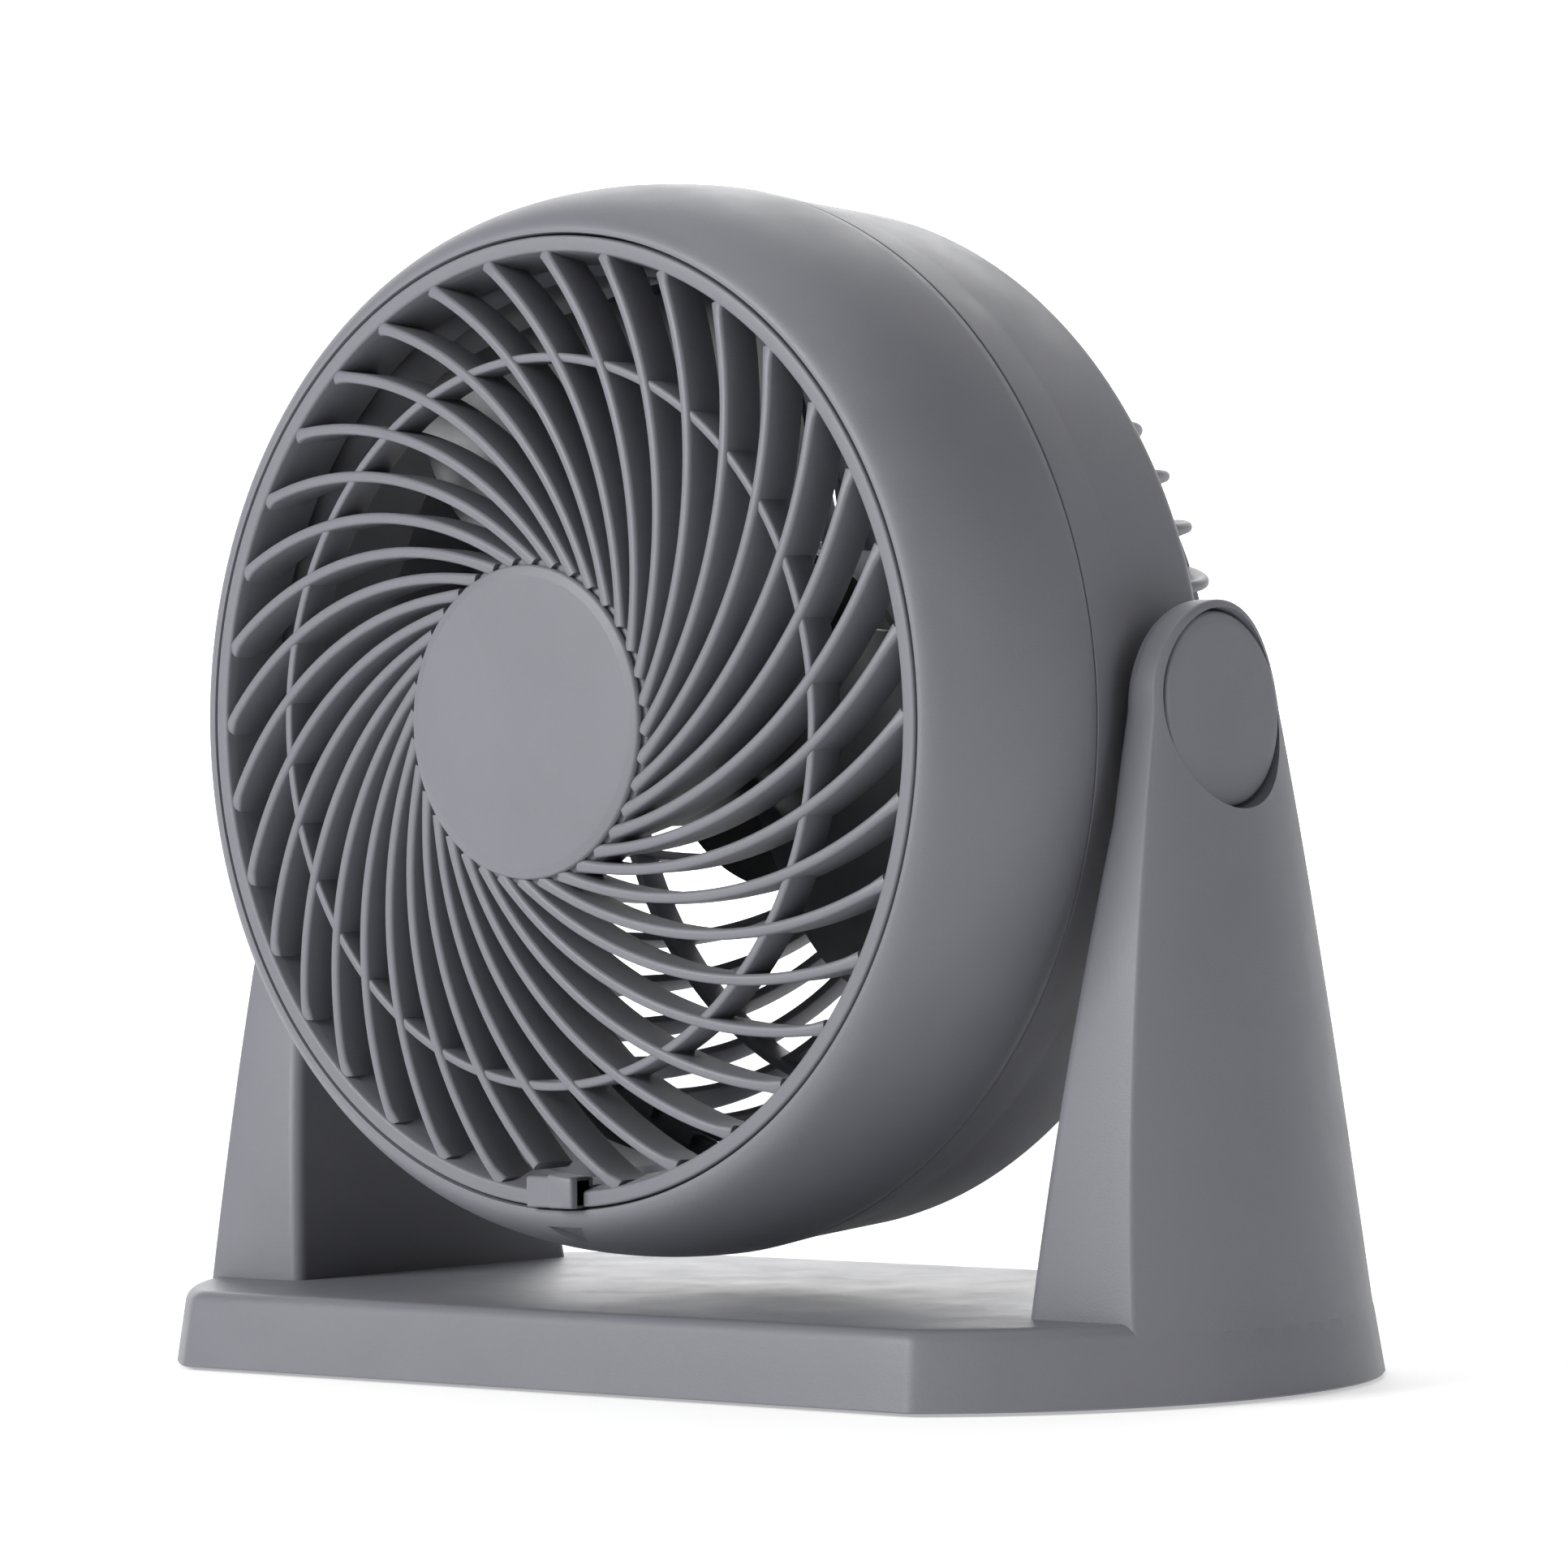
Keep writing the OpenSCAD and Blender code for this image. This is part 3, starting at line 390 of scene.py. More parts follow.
def wound(name, rgb):
    """Turns of enamelled wire side by side across the fan's axis."""
    s = Shader(name)
    turns = s.node("ShaderNodeTexWave", {"wave_type": "BANDS", "bands_direction": "X"},
                   {"Vector": s.place, "Scale": 520.0, "Distortion": 0.7, "Detail": 1.0}, 1)
    patch = s.ranged(s.noise(300, 3.0, 0.6), 0.35, 0.7, 0, 1)
    return s.set(Base_Color=s.mix(turns * 0.7 + patch * 0.3, shade(rgb, 0.45), shade(rgb, 1.3)), Metallic=0.75,
                 Roughness=0.3 + patch * 0.12, Normal=s.bump(turns, 0.0002, 0.8))


FINISHES = {}


def finish(name):
    """The material of one of the record's slots, made once."""
    if name not in FINISHES:
        tint = bpy.context.scene.fan_colours
        makers = {
            "body_plastic": lambda: moulded("body_plastic", tint.body),
            # the impeller's darker grey is painted shade of the fan's inside
            "impeller_plastic": lambda: moulded("impeller_plastic", tint.inner, 0.42, 0.6),
            "dark_plastic": lambda: moulded("dark_plastic", tint.dark, 0.40, 0.8, 0.12),
            "pale_plastic": lambda: moulded("pale_plastic", tint.pale, 0.45, 0.5),
            "rubber": lambda: rubber_finish("rubber", tint.rubber),
            "plated_steel": lambda: plated("plated_steel", tint.steel),
            "lamination_steel": lambda: laminated("lamination_steel", tint.core),
            "copper_wire": lambda: wound("copper_wire", tint.copper),
            "bronze": lambda: plated("bronze", tint.bronze, 0.45),
        }
        FINISHES[name] = makers[name]()
    return FINISHES[name]


class FanOperator(bpy.types.Operator):
    """Base of the fan's operators."""

    bl_options = {"REGISTER", "UNDO"}

    def execute(self, context):
        self.build(context.scene.fan_sizes)
        return {"FINISHED"}


# ---- front grille ----

GAP_R = 113.3
RING_R = GAP_R - 0.5
THROAT_R = 109.0
BOSS_C = THROAT_R + 3.4
DOME_P = 3.2           # exponent of the rear dome's curve
RIM_BACK = 33.0        # where the front rim's curve meets the housing's side
SEAM = 30.0            # joint between the two housings
TAPER = 0.113          # how the rear housing narrows towards the back
ROLL = 6.0             # radius of its rolled back edge


def spiral_point(arc_r, arc_d, r_end, angle, r, turn):
    """Point at radius r on the arc that ends at radius r_end and polar angle, in radians."""

    def lead(radius):
        return math.acos((radius ** 2 + arc_d ** 2 - arc_r ** 2) / (2 * radius * arc_d))

    polar = angle + turn * (lead(r_end) - lead(r))
    return Vector((r * math.cos(polar), r * math.sin(polar), 0))


def grille_front(p, r):
    return p.ring_f - 0.2 + p.grille_dome * (1 - (r / RING_R) ** 2)


def blade_rings(p, r0, r1, stop, steps):
    """Outlines along one front blade, from the hub towards the ring at r1, as far as stop."""
    half, deep = p.rib_t / 2, p.rib_d
    section = rounded([(-half, 0, 0.95), (half, 0, 0.95), (half * 0.72, -deep, 0.5), (-half * 0.72, -deep, 0.5)],
                      steps=3)
    arc_r, arc_d = GAP_R * 0.944, GAP_R * 0.697
    rings = []
    for i in range(steps + 1):
        r = r0 + (stop - r0) * i / steps
        here = spiral_point(arc_r, arc_d, r1, 0, r, 1)
        near = spiral_point(arc_r, arc_d, r1, 0, max(r - 0.05, r0 - 0.05), 1)
        side = Vector((0, 0, 1)).cross(here - near).normalized()
        # the face widens into the ring and the hub, as moulded ribs do
        flare = 1 + 0.5 * max(0, 1 - (r1 - r) / 3.5) ** 2 + 0.25 * max(0, 1 - (r - r0) / 6) ** 2
        drop = 0.9 * max(0, 1 - (r1 - r) / 4) ** 2
        rings.append([here + side * (s * flare) + Vector((0, 0, grille_front(p, r) + q - drop)) for s, q in section])
    return rings


class FrontGrille(FanOperator):
    """Front grille: the ring, its spiral blades, the middle ring and the hub"""

    bl_idname = "fan.front_grille"
    bl_label = "Front Grille"

    def build(self, p):
        face = p.ring_f
        skirt = THROAT_R - 0.5
        bm = bmesh.new()
        spin(bm, rounded([
            (RING_R - 3.6, face, 0.9), (RING_R, face, 0.7), (RING_R, face - 5.2, 0.2), (skirt, face - 5.2, 0.3),
            (skirt, face - 14.7, 0.4), (skirt - 2.2, face - 14.7, 0.6), (RING_R - 4.3, face - 2.6, 0.8)]))
        ring = to_mesh(bm, "ring", Matrix.Identity(4))
        pocket = bmesh.new()
        block(pocket, (-8.5, -RING_R - 20, face - 5.7), (8.5, -RING_R + 8.5, face + 15))
        cut(ring, to_mesh(pocket, "latch_pocket", Matrix.Identity(4)))

        bm = bmesh.new()
        # the blade under the latch stops short of its pocket
        sweep(bm, blade_rings(p, p.hub_r + 0.2, THROAT_R + 0.2, THROAT_R - 5.5, 28))
        bmesh.ops.rotate(bm, cent=(0, 0, 0), matrix=Matrix.Rotation(math.radians(-90), 3, "Z"), verts=bm.verts)
        short = set(bm.verts)
        sweep(bm, blade_rings(p, p.hub_r + 0.2, THROAT_R + 0.2, THROAT_R + 0.2, 30))
        step = 360 / p.front_ribs
        blade = [v for v in bm.verts if v not in short]
        bmesh.ops.rotate(bm, cent=(0, 0, 0), matrix=Matrix.Rotation(math.radians(step - 90), 3, "Z"), verts=blade)
        geom = blade + list({e for v in blade for e in v.link_edges}) + list({f for v in blade for f in v.link_faces})
        bmesh.ops.spin(bm, geom=geom, cent=(0, 0, 0), axis=(0, 0, 1), angle=math.radians(step * (p.front_ribs - 2)),
                       steps=p.front_ribs - 2, use_duplicate=True)
        bm.from_mesh(ring.data)
        bpy.data.objects.remove(ring)
        top = grille_front(p, p.mid_r) - 0.7
        spin(bm, rounded([(p.mid_r - 1.1, top, 0.7), (p.mid_r + 1.1, top, 0.7), (p.mid_r + 0.9, top - 9.5, 0.4),
                          (p.mid_r - 0.9, top - 9.5, 0.4)], steps=3))
        hub = grille_front(p, p.hub_r) - 1.4
        spin(bm, rounded([(0, hub, 0), (p.hub_r + 1.0, hub, 0.8), (p.hub_r + 2.0, hub - 2.0, 1.2),
                          (p.hub_r + 1.6, hub - p.rib_d + 2, 0.8), (p.hub_r - 1.2, hub - p.rib_d + 2, 0.6),
                          (p.hub_r - 1.8, hub - 2.8, 1.0), (0, hub - 2.8, 0)], closed=False), closed=False)
        for i in range(4):
            lug = block(bm, (skirt - 1, -7, face - 13.7), (THROAT_R + 1.8, 7, face - 10.7))
            bmesh.ops.rotate(bm, cent=(0, 0, 0), matrix=Matrix.Rotation(math.radians(45 + 90 * i), 3, "Z"), verts=lug)
        settle(to_mesh(bm, "front_grille_shell", HEAD), finish("body_plastic"), "grille",
               ["front_grille"], 40)

        bm = bmesh.new()
        low = hub + 0.1
        spin(bm, rounded([(0, low, 0), (p.hub_r - 0.4, low, 0.3), (p.hub_r, low + 0.8, 0.4),
                          (p.hub_r - 0.15, low + 1.9, 1.1), (p.hub_r - 2.6, low + 2.5, 1.2),
                          (p.hub_r * 0.6, low + 2.62, 8), (0, low + 2.66, 0)], closed=False, steps=5),
             192, closed=False)
        settle(to_mesh(bm, "hub_disc", HEAD), finish("body_plastic"), "grille", ["hub_badge"])


class LatchTab(FanOperator):
    """Latch tab at the bottom of the grille ring"""

    bl_idname = "fan.latch_tab"
    bl_label = "Latch Tab"

    def build(self, p):
        bm = bmesh.new()
        back = p.ring_f - 4.2
        outer, inner = -RING_R, -RING_R + 8
        block(bm, (-8, outer, back), (8, inner, p.ring_f + 2.4))
        block(bm, (0, outer, back + 1), (8, inner, p.ring_f + 3.6))
        soften(bm, 0.75, 40, 3)
        top = max(v.co.y for v in bm.verts)
        for vert in bm.verts:
            if vert.co.y > top - 2:
                vert.co.y -= 0.012 * vert.co.x ** 2
        block(bm, (-5, outer + 0.9, p.ring_f - 9.1), (5, outer + 3.8, back + 0.4))
        block(bm, (-2.5, -GAP_R - 0.4, p.ring_f - 9.1), (2.5, outer + 2.5, p.ring_f - 7.6))
        settle(to_mesh(bm, "latch_tab_shell", HEAD), finish("body_plastic"), "latch", ["latch_tab"])


# ---- housing ----


def rim_points(p, width, height, start, stop, steps):
    """The housing's front curve from the grille ring to its full radius."""
    out = []
    for i in range(steps + 1):
        a = math.radians(start + (stop - start) * i / steps)
        out.append((GAP_R + width * math.sin(a), RIM_BACK + height * math.cos(a)))
    return out


class FrontHousing(FanOperator):
    """Front shell with its rounded rim, bayonet throat and air duct"""

    bl_idname = "fan.front_housing"
    bl_label = "Front Housing"

    def build(self, p):
        bm = bmesh.new()
        face, wall = p.ring_f, p.shell_wall
        height = face - RIM_BACK
        seam = SEAM
        duct = THROAT_R - 4.6
        outer = rim_points(p, p.rim_w, height, 4, 90, 30)
        inner = rim_points(p, p.rim_w - wall, height - wall, 90, 28, 12)
        points = [(GAP_R, face - 0.9), (GAP_R + 0.25, face - 0.25)] + outer + [
            (HOUSING_R, seam + 0.6), (HOUSING_R - 0.25, seam + 0.15), (HOUSING_R - 0.7, seam),
            (HOUSING_R - wall, seam)] + inner + [
            (THROAT_R + 6, face - 9), (THROAT_R + 6, 58), (duct + 2, 54), (duct + 2, 28.3), (duct + 1.5, 28),
            (duct + 0.5, 28), (duct, 28.5), (duct, 56), (THROAT_R, 60), (THROAT_R, face - 5.9), (GAP_R, face - 5.9)]
        spin(bm, points, 224)
        shell = to_mesh(bm, "front_housing_shell", HEAD)
        # triangle pressed square into the rim below the latch
        at = math.asin(7 / p.rim_w)
        slope = math.atan(height * math.tan(at) / p.rim_w)
        mark = bmesh.new()
        face_made = mark.faces.new([mark.verts.new(co) for co in ((-5, -5.5, -1.3), (5, 0, -1.3), (-5, 5.5, -1.3))])
        made = bmesh.ops.extrude_face_region(mark, geom=[face_made])["geom"]
        bmesh.ops.translate(mark, vec=(0, 0, 6), verts=[g for g in made if isinstance(g, bmesh.types.BMVert)])
        place = (HEAD @ Matrix.Rotation(math.radians(-90), 4, "Z")
                 @ Matrix.Translation((GAP_R + 7, 0, RIM_BACK + height * math.cos(at)))
                 @ Matrix.Rotation(slope, 4, "Y"))
        cut(shell, to_mesh(mark, "triangle", place))
        settle(shell, finish("body_plastic"), "head", ["front_housing"], 35)


def rear_edges(p):
    """Outer radius at the rear housing's back edge, and the radius of the opening inside it."""
    outer = HOUSING_R - TAPER * (SEAM + p.rear_f - ROLL)
    return outer, outer - ROLL - 7


class RearHousing(FanOperator):
    """Rear shell with its rolled back edge, pivot bosses and screw wells"""

    bl_idname = "fan.rear_housing"
    bl_label = "Rear Housing"

    def build(self, p):
        wall = p.shell_wall
        top = 29.7
        edge_r, flange = rear_edges(p)
        seat = -p.rear_f + wall
        bm = bmesh.new()
        points = rounded([
            (HOUSING_R - 0.1, top, 0.35), (HOUSING_R - 0.1 - TAPER * 14, top - 14, 30),
            (edge_r + 0.5, -p.rear_f, ROLL), (flange, -p.rear_f, 0.8), (flange, seat, 0.8),
            (edge_r - wall + 0.5, seat, ROLL - wall), (HOUSING_R - wall - 1.6, top - 6, 0.5),
            (HOUSING_R - wall - 1.6, top + 3, 0.2), (HOUSING_R - wall - 0.2, top + 3, 0.2),
            (HOUSING_R - wall - 0.2, top, 0.1)], steps=8)
        spin(bm, points, 224)
        shell = to_mesh(bm, "shell", Matrix.Identity(4))
        spots = [Matrix.Rotation(math.radians(a), 4, "Z") @ Matrix.Translation((BOSS_C, 0, 0))
                 for a in (40, 140, 220, 320)]
        for spot in spots:
            cut(shell, rod("well", 3.7, 3.7, seat - 12, seat + 6, spot, 32))
        bm = bmesh.new()
        bm.from_mesh(shell.data)
        bpy.data.objects.remove(shell)
        for spot in spots:
            before = set(bm.verts)
            spin(bm, rounded([(3.7, seat - 1, 0), (4.6, seat - 1, 0), (4.6, top - 0.2, 0.4), (1.85, top - 0.2, 0.3),
                              (1.85, seat + 6, 0.2), (3.7, seat + 6, 0.2)]), 40)
            bmesh.ops.transform(bm, matrix=spot, verts=[v for v in bm.verts if v not in before])
        boss_face = ARM_IN - 2.2
        for side in (-1, 1):
            before = set(bm.verts)
            spin(bm, rounded([(3.1, boss_face, 0.3), (13.6, boss_face, 0.6), (14.2, boss_face - 4, 0.5),
                              (15.5, boss_face - 14, 0), (3.1, boss_face - 14, 0)]), 96)
            turn = Matrix.Rotation(math.radians(90 * side), 4, "Y")
            bmesh.ops.transform(bm, matrix=turn, verts=[v for v in bm.verts if v not in before])
        shell = to_mesh(bm, "rear_housing_shell", HEAD)
        settle(shell, finish("body_plastic"), "head", ["rear_housing"], 35)


# ---- rear grille ----


def dome_point(p, radius, angle):
    """(radius, forward) on the rear dome, from 0 at the housing to 90 degrees at the axis."""
    power = 2 / DOME_P
    a = math.radians(angle)
    return radius * math.cos(a) ** power, -(p.rear_f - 2) - p.dome_d * math.sin(a) ** power


class RearGrille(FanOperator):
    """Dished rear guard with its ribs, rings and the motor pod"""

    bl_idname = "fan.rear_grille"
    bl_label = "Rear Grille"

    def build(self, p):
        flange = rear_edges(p)[1]
        dome_r = flange + 3
        arc_r, arc_d = GAP_R * 1.06, GAP_R * 0.985
        half, deep = p.rear_rib_t / 2, p.rear_rib_d
        section = rounded([(-half, 0, 1.3), (half, 0, 1.3), (half * 0.75, -deep, 0.6),
                           (-half * 0.75, -deep, 0.6)], steps=3)
        stations = []
        angle = 0.0
        while True:
            r, f = dome_point(p, dome_r, angle)
            if r < p.pod_r - 1:
                break
            stations.append((r, f))
            angle += 1.2 if angle < 6 else 2.6
        stations[0] = (stations[0][0], stations[0][1] + 3)
        rings = []
        for i, (r, f) in enumerate(stations):
            ahead = stations[min(i + 1, len(stations) - 1)]
            behind = stations[max(i - 1, 0)]
            spot = spiral_point(arc_r, arc_d, dome_r, 0, r, -1) + Vector((0, 0, f))
            a = spiral_point(arc_r, arc_d, dome_r, 0, ahead[0], -1) + Vector((0, 0, ahead[1]))
            b = spiral_point(arc_r, arc_d, dome_r, 0, behind[0], -1) + Vector((0, 0, behind[1]))
            slope = Vector((ahead[0] - behind[0], ahead[1] - behind[1])).normalized()
            radial = Vector((spot.x, spot.y, 0)).normalized()
            out = radial * -slope.y + Vector((0, 0, slope.x))
            if out.z > 0:
                out = -out
            side = (a - b).normalized().cross(out).normalized()
            swell = 1 + 0.55 * math.exp(-i / 3.0)
            rings.append([spot + side * (s * swell) + out * q for s, q in section])
        bm = bmesh.new()
        sweep(bm, rings)
        ring_array(bm, bm.verts[:] + bm.edges[:] + bm.faces[:], p.rear_ribs)
        seat = -p.rear_f + p.shell_wall
        spin(bm, rounded([(dome_r - deep - 0.5, -p.rear_f - 1, 0.8), (flange - 0.8, -p.rear_f - 1, 0.8),
                          (flange - 0.8, seat + 0.1, 0.2), (BOSS_C - 5, seat + 0.1, 0.3), (BOSS_C - 5, seat + 2.6, 0.5),
                          (dome_r - deep - 0.5, seat + 2.6, 0.6)]))
        mid = 94.0
        back = -(p.rear_f - 2) - p.dome_d * (1 - (mid / dome_r) ** DOME_P) ** (1 / DOME_P)
        spin(bm, rounded([(mid - 1.3, back + 0.6, 0.9), (mid + 1.3, back + 0.6, 0.9), (mid + 1.1, back + 9, 0.4),
                          (mid - 1.1, back + 9, 0.4)], steps=3))
        settle(to_mesh(bm, "rear_grille_shell", HEAD), finish("body_plastic"), "head",
               ["rear_grille"], 35)

        back = -(p.rear_f - 2) - p.dome_d
        mouth = back + 57
        bm = bmesh.new()
        spin(bm, rounded([
            (4.6, back, 0.2), (9.0, back, 0.3), (9.4, back - 0.35, 0.2), (10.4, back - 0.35, 0.2),
            (10.8, back, 0.3), (p.pod_r - 1.2, back, 2.2), (p.pod_r, back + 4, 4), (p.pod_r, mouth, 0.6),
            (p.pod_r - 2.4, mouth, 0.6), (p.pod_r - 2.4, back + 2.4, 1.0), (4.6, back + 2.4, 0.2)]))
        pod = to_mesh(bm, "pod", Matrix.Identity(4))
        cut(pod, rod("gland_hole", 5.1, 5.1, back - 4, back + 8, Matrix.Translation((0, -29, 0)), 48))
        bm = bmesh.new()
        bm.from_mesh(pod.data)
        bpy.data.objects.remove(pod)
        for side in (-1, 1):
            before = set(bm.verts)
            spin(bm, rounded([(1.9, back + 1, 0), (4, back + 1, 0), (4, back + 18.9, 0.4),
                              (1.9, back + 18.9, 0.3)]), 40)
            bmesh.ops.translate(bm, vec=(side * 31, 0, 0), verts=[v for v in bm.verts if v not in before])
        # raised speed marks round the knob: a bar for off, then one to three pips
        for count, turn in enumerate((90, 45, 0, -45)):
            for k in range(max(1, count)):
                pip = bmesh.ops.create_uvsphere(bm, u_segments=20, v_segments=10, radius=0.75)["verts"]
                bmesh.ops.scale(bm, vec=(1, 1, 0.45) if count else (2.6, 0.8, 0.45), verts=pip)
                at = math.radians(turn + (k - (count - 1) / 2) * 5.5 * bool(count))
                bmesh.ops.translate(bm, vec=(21.5 * math.cos(at), 21.5 * math.sin(at), back), verts=pip)
        settle(to_mesh(bm, "motor_pod_shell", HEAD), finish("body_plastic"), "head", smooth=35)


# ---- impeller ----


class Impeller(FanOperator):
    """Impeller with its cambered blades and domed hub"""

    bl_idname = "fan.impeller"
    bl_label = "Impeller"

    def build(self, p):
        tip = THROAT_R - 4.6 - 2.5
        hub = 25.0
        low, high = 18.0, p.ring_f - p.rib_d - 6
        middle = (low + high) / 2
        bm = bmesh.new()

        def spot(u, v):
            """u runs from the leading edge to the trailing edge, v from the hub to the tip."""
            r = hub - 1.5 + (tip - hub + 1.5) * v
            spread = 66 + 8 * math.sin(math.pi * min(1, v * 1.1)) - 10 * v ** 5
            lag = 9 * v ** 2
            angle = math.radians((u - 0.5) * spread + lag)
            pitch = (high - low) / 2 * (0.93 - 0.12 * v)
            # rounded corners at the tip
            corner = max(0.0, abs(u - 0.5) * 2 - 0.72) / 0.28
            r -= 9 * corner ** 2 * v ** 3
            rise = math.sin((u - 0.5) * math.pi * 0.92)
            camber = 3.2 * math.cos((u - 0.5) * math.pi)
            return Vector((r * math.cos(angle), r * math.sin(angle), middle + pitch * rise - camber + 1))

        grid(bm, 36, 22, spot)
        bmesh.ops.remove_doubles(bm, verts=bm.verts, dist=1e-4)
        bmesh.ops.recalc_face_normals(bm, faces=bm.faces)
        bmesh.ops.solidify(bm, geom=bm.faces[:], thickness=1.8)
        rims = [e for e in bm.edges if len(e.link_faces) == 2 and e.calc_face_angle(0) > math.radians(50)]
        bmesh.ops.bevel(bm, geom=rims, offset=0.55, offset_type="OFFSET", affect="EDGES", segments=2, profile=0.5,
                        material=-1, clamp_overlap=True)
        phase = Matrix.Rotation(math.radians(95), 3, "Z")
        bmesh.ops.rotate(bm, cent=(0, 0, 0), matrix=phase, verts=bm.verts)
        ring_array(bm, bm.verts[:] + bm.edges[:] + bm.faces[:], p.blades)
        spin(bm, rounded([(hub - 2, low, 0.5), (hub, low, 0.7), (hub, high - 1, 5), (hub - 7, high, 6),
                          (6.3, high, 0.6), (6.3, high - 8.5, 0.3), (2.6, high - 8.5, 0.2),
                          (2.6, high - 22, 0.3), (7, high - 22, 0.5),
                          (7, high - 3, 0.8), (hub - 2, high - 3, 3)]), 128)
        settle(to_mesh(bm, "impeller_shell", HEAD), finish("impeller_plastic"), "rotor",
               ["impeller"], 40)


# ---- stand ----

LEAN = math.tan(math.radians(7))
BASE_H = 19.0
ARM_IN = HOUSING_R + 2.9
END_C = span("stand", 0)[1] - 96.6


def end_radius(z):
    return 96.6 - 3 * z / BASE_H if z <= BASE_H else 93.6 - LEAN * (z - BASE_H)


def arm_half(z):
    t = min(1.0, max(0.0, (z - BASE_H) / (PIVOT_Z - BASE_H)))
    return 48 + (25 - 48) * t + 2.6 * 4 * t * (1 - t)


def arm_inner(z):
    t = min(1.0, max(0.0, (z - BASE_H) / (PIVOT_Z - 25 - BASE_H)))
    return ARM_IN - 12.2 * (1 - t)


def arm_outline(v):
    """Edge point and middle point, (y, z) each, at v from 0 at the front foot to 1 at the rear foot."""
    low = BASE_H - 5
    straight, rows = 0.38, 1 - 2 * 0.38
    if v < straight or v > 1 - straight:
        t = v / straight if v < straight else (1 - v) / straight
        z = low + (PIVOT_Z - low) * t
        sign = -1 if v < straight else 1
        return (PIVOT_Y + sign * arm_half(z), z), (PIVOT_Y, z)
    a = math.pi * (1 - (v - straight) / rows)
    return (PIVOT_Y + 25 * math.cos(a), PIVOT_Z + 25 * math.sin(a)), (PIVOT_Y, PIVOT_Z)


def arm_columns(p):
    """Cross-section of an arm from the middle of its outer face round to the middle of its inner face.
    Each column is (inset from the edge, share of the way to the middle, depth from a face, face)."""
    columns = [(0, t, 0, 1) for t in (1, 0.8, 0.6, 0.4, 0.22, 0.1)]
    for face, radius in ((1, p.edge_r), (0, 3.4)):
        quarter = []
        for k in range(6):
            a = math.radians(18 * k)
            quarter.append((radius * (1 - math.sin(a)), 0, radius * (1 - math.cos(a)), face))
        columns += quarter if face else [(0, 0, 6, 1)] + quarter[::-1]
    columns += [(0, t, 0, 0) for t in (0.15, 0.3, 0.5, 0.75, 1)]
    return columns


def arm_shell(bm, p, side):
    columns = arm_columns(p)

    def spot(u, v):
        inset, share, depth, face = columns[min(len(columns) - 1, round(u * (len(columns) - 1)))]
        (ey, ez), (my, mz) = arm_outline(v)
        reach = math.hypot(ey - my, ez - mz)
        t = share + (inset / reach) * (1 - share)
        y, z = ey + (my - ey) * t, ez + (mz - ez) * t
        if face:
            x = END_C + math.sqrt(end_radius(z) ** 2 - y ** 2) + 0.04 - depth
        else:
            x = arm_inner(z) + depth
        return Vector((side * x, y, z))

    grid(bm, len(columns) - 1, 140, spot)


def base_outline(z, inset, count=40):
    """Plan outline of the base at a height: two round ends joined by straight front and back faces."""
    radius = end_radius(z) - inset
    depth = BASE_D / 2 - 2.4 * min(1.0, z / (BASE_H - 2.2)) - inset
    reach = math.asin(depth / radius)
    points = []
    for side in (1, -1):
        arc = []
        for i in range(count + 1):
            a = -reach + 2 * reach * i / count
            arc.append(Vector((END_C + radius * math.cos(a), radius * math.sin(a))) * side)
        # the crease where the end meets the straight face has a small radius
        for at, inward in ((0, 1), (-1, -2)):
            corner = arc[at].copy()
            along = (arc[inward] - corner).normalized() * 1.6
            chord = Vector((-1.6 * side, 0))
            mid = corner + along * 0.25 + chord * 0.25
            if at == 0:
                arc[0:1] = [corner + chord, mid, corner + along]
            else:
                arc[-1:] = [corner + along, mid, corner + chord]
        points += arc
        start, stop = arc[-1], -arc[0]
        points += [start.lerp(stop, k / 14) for k in range(1, 14)]
    return [Vector((q.x, q.y, z)) for q in points]


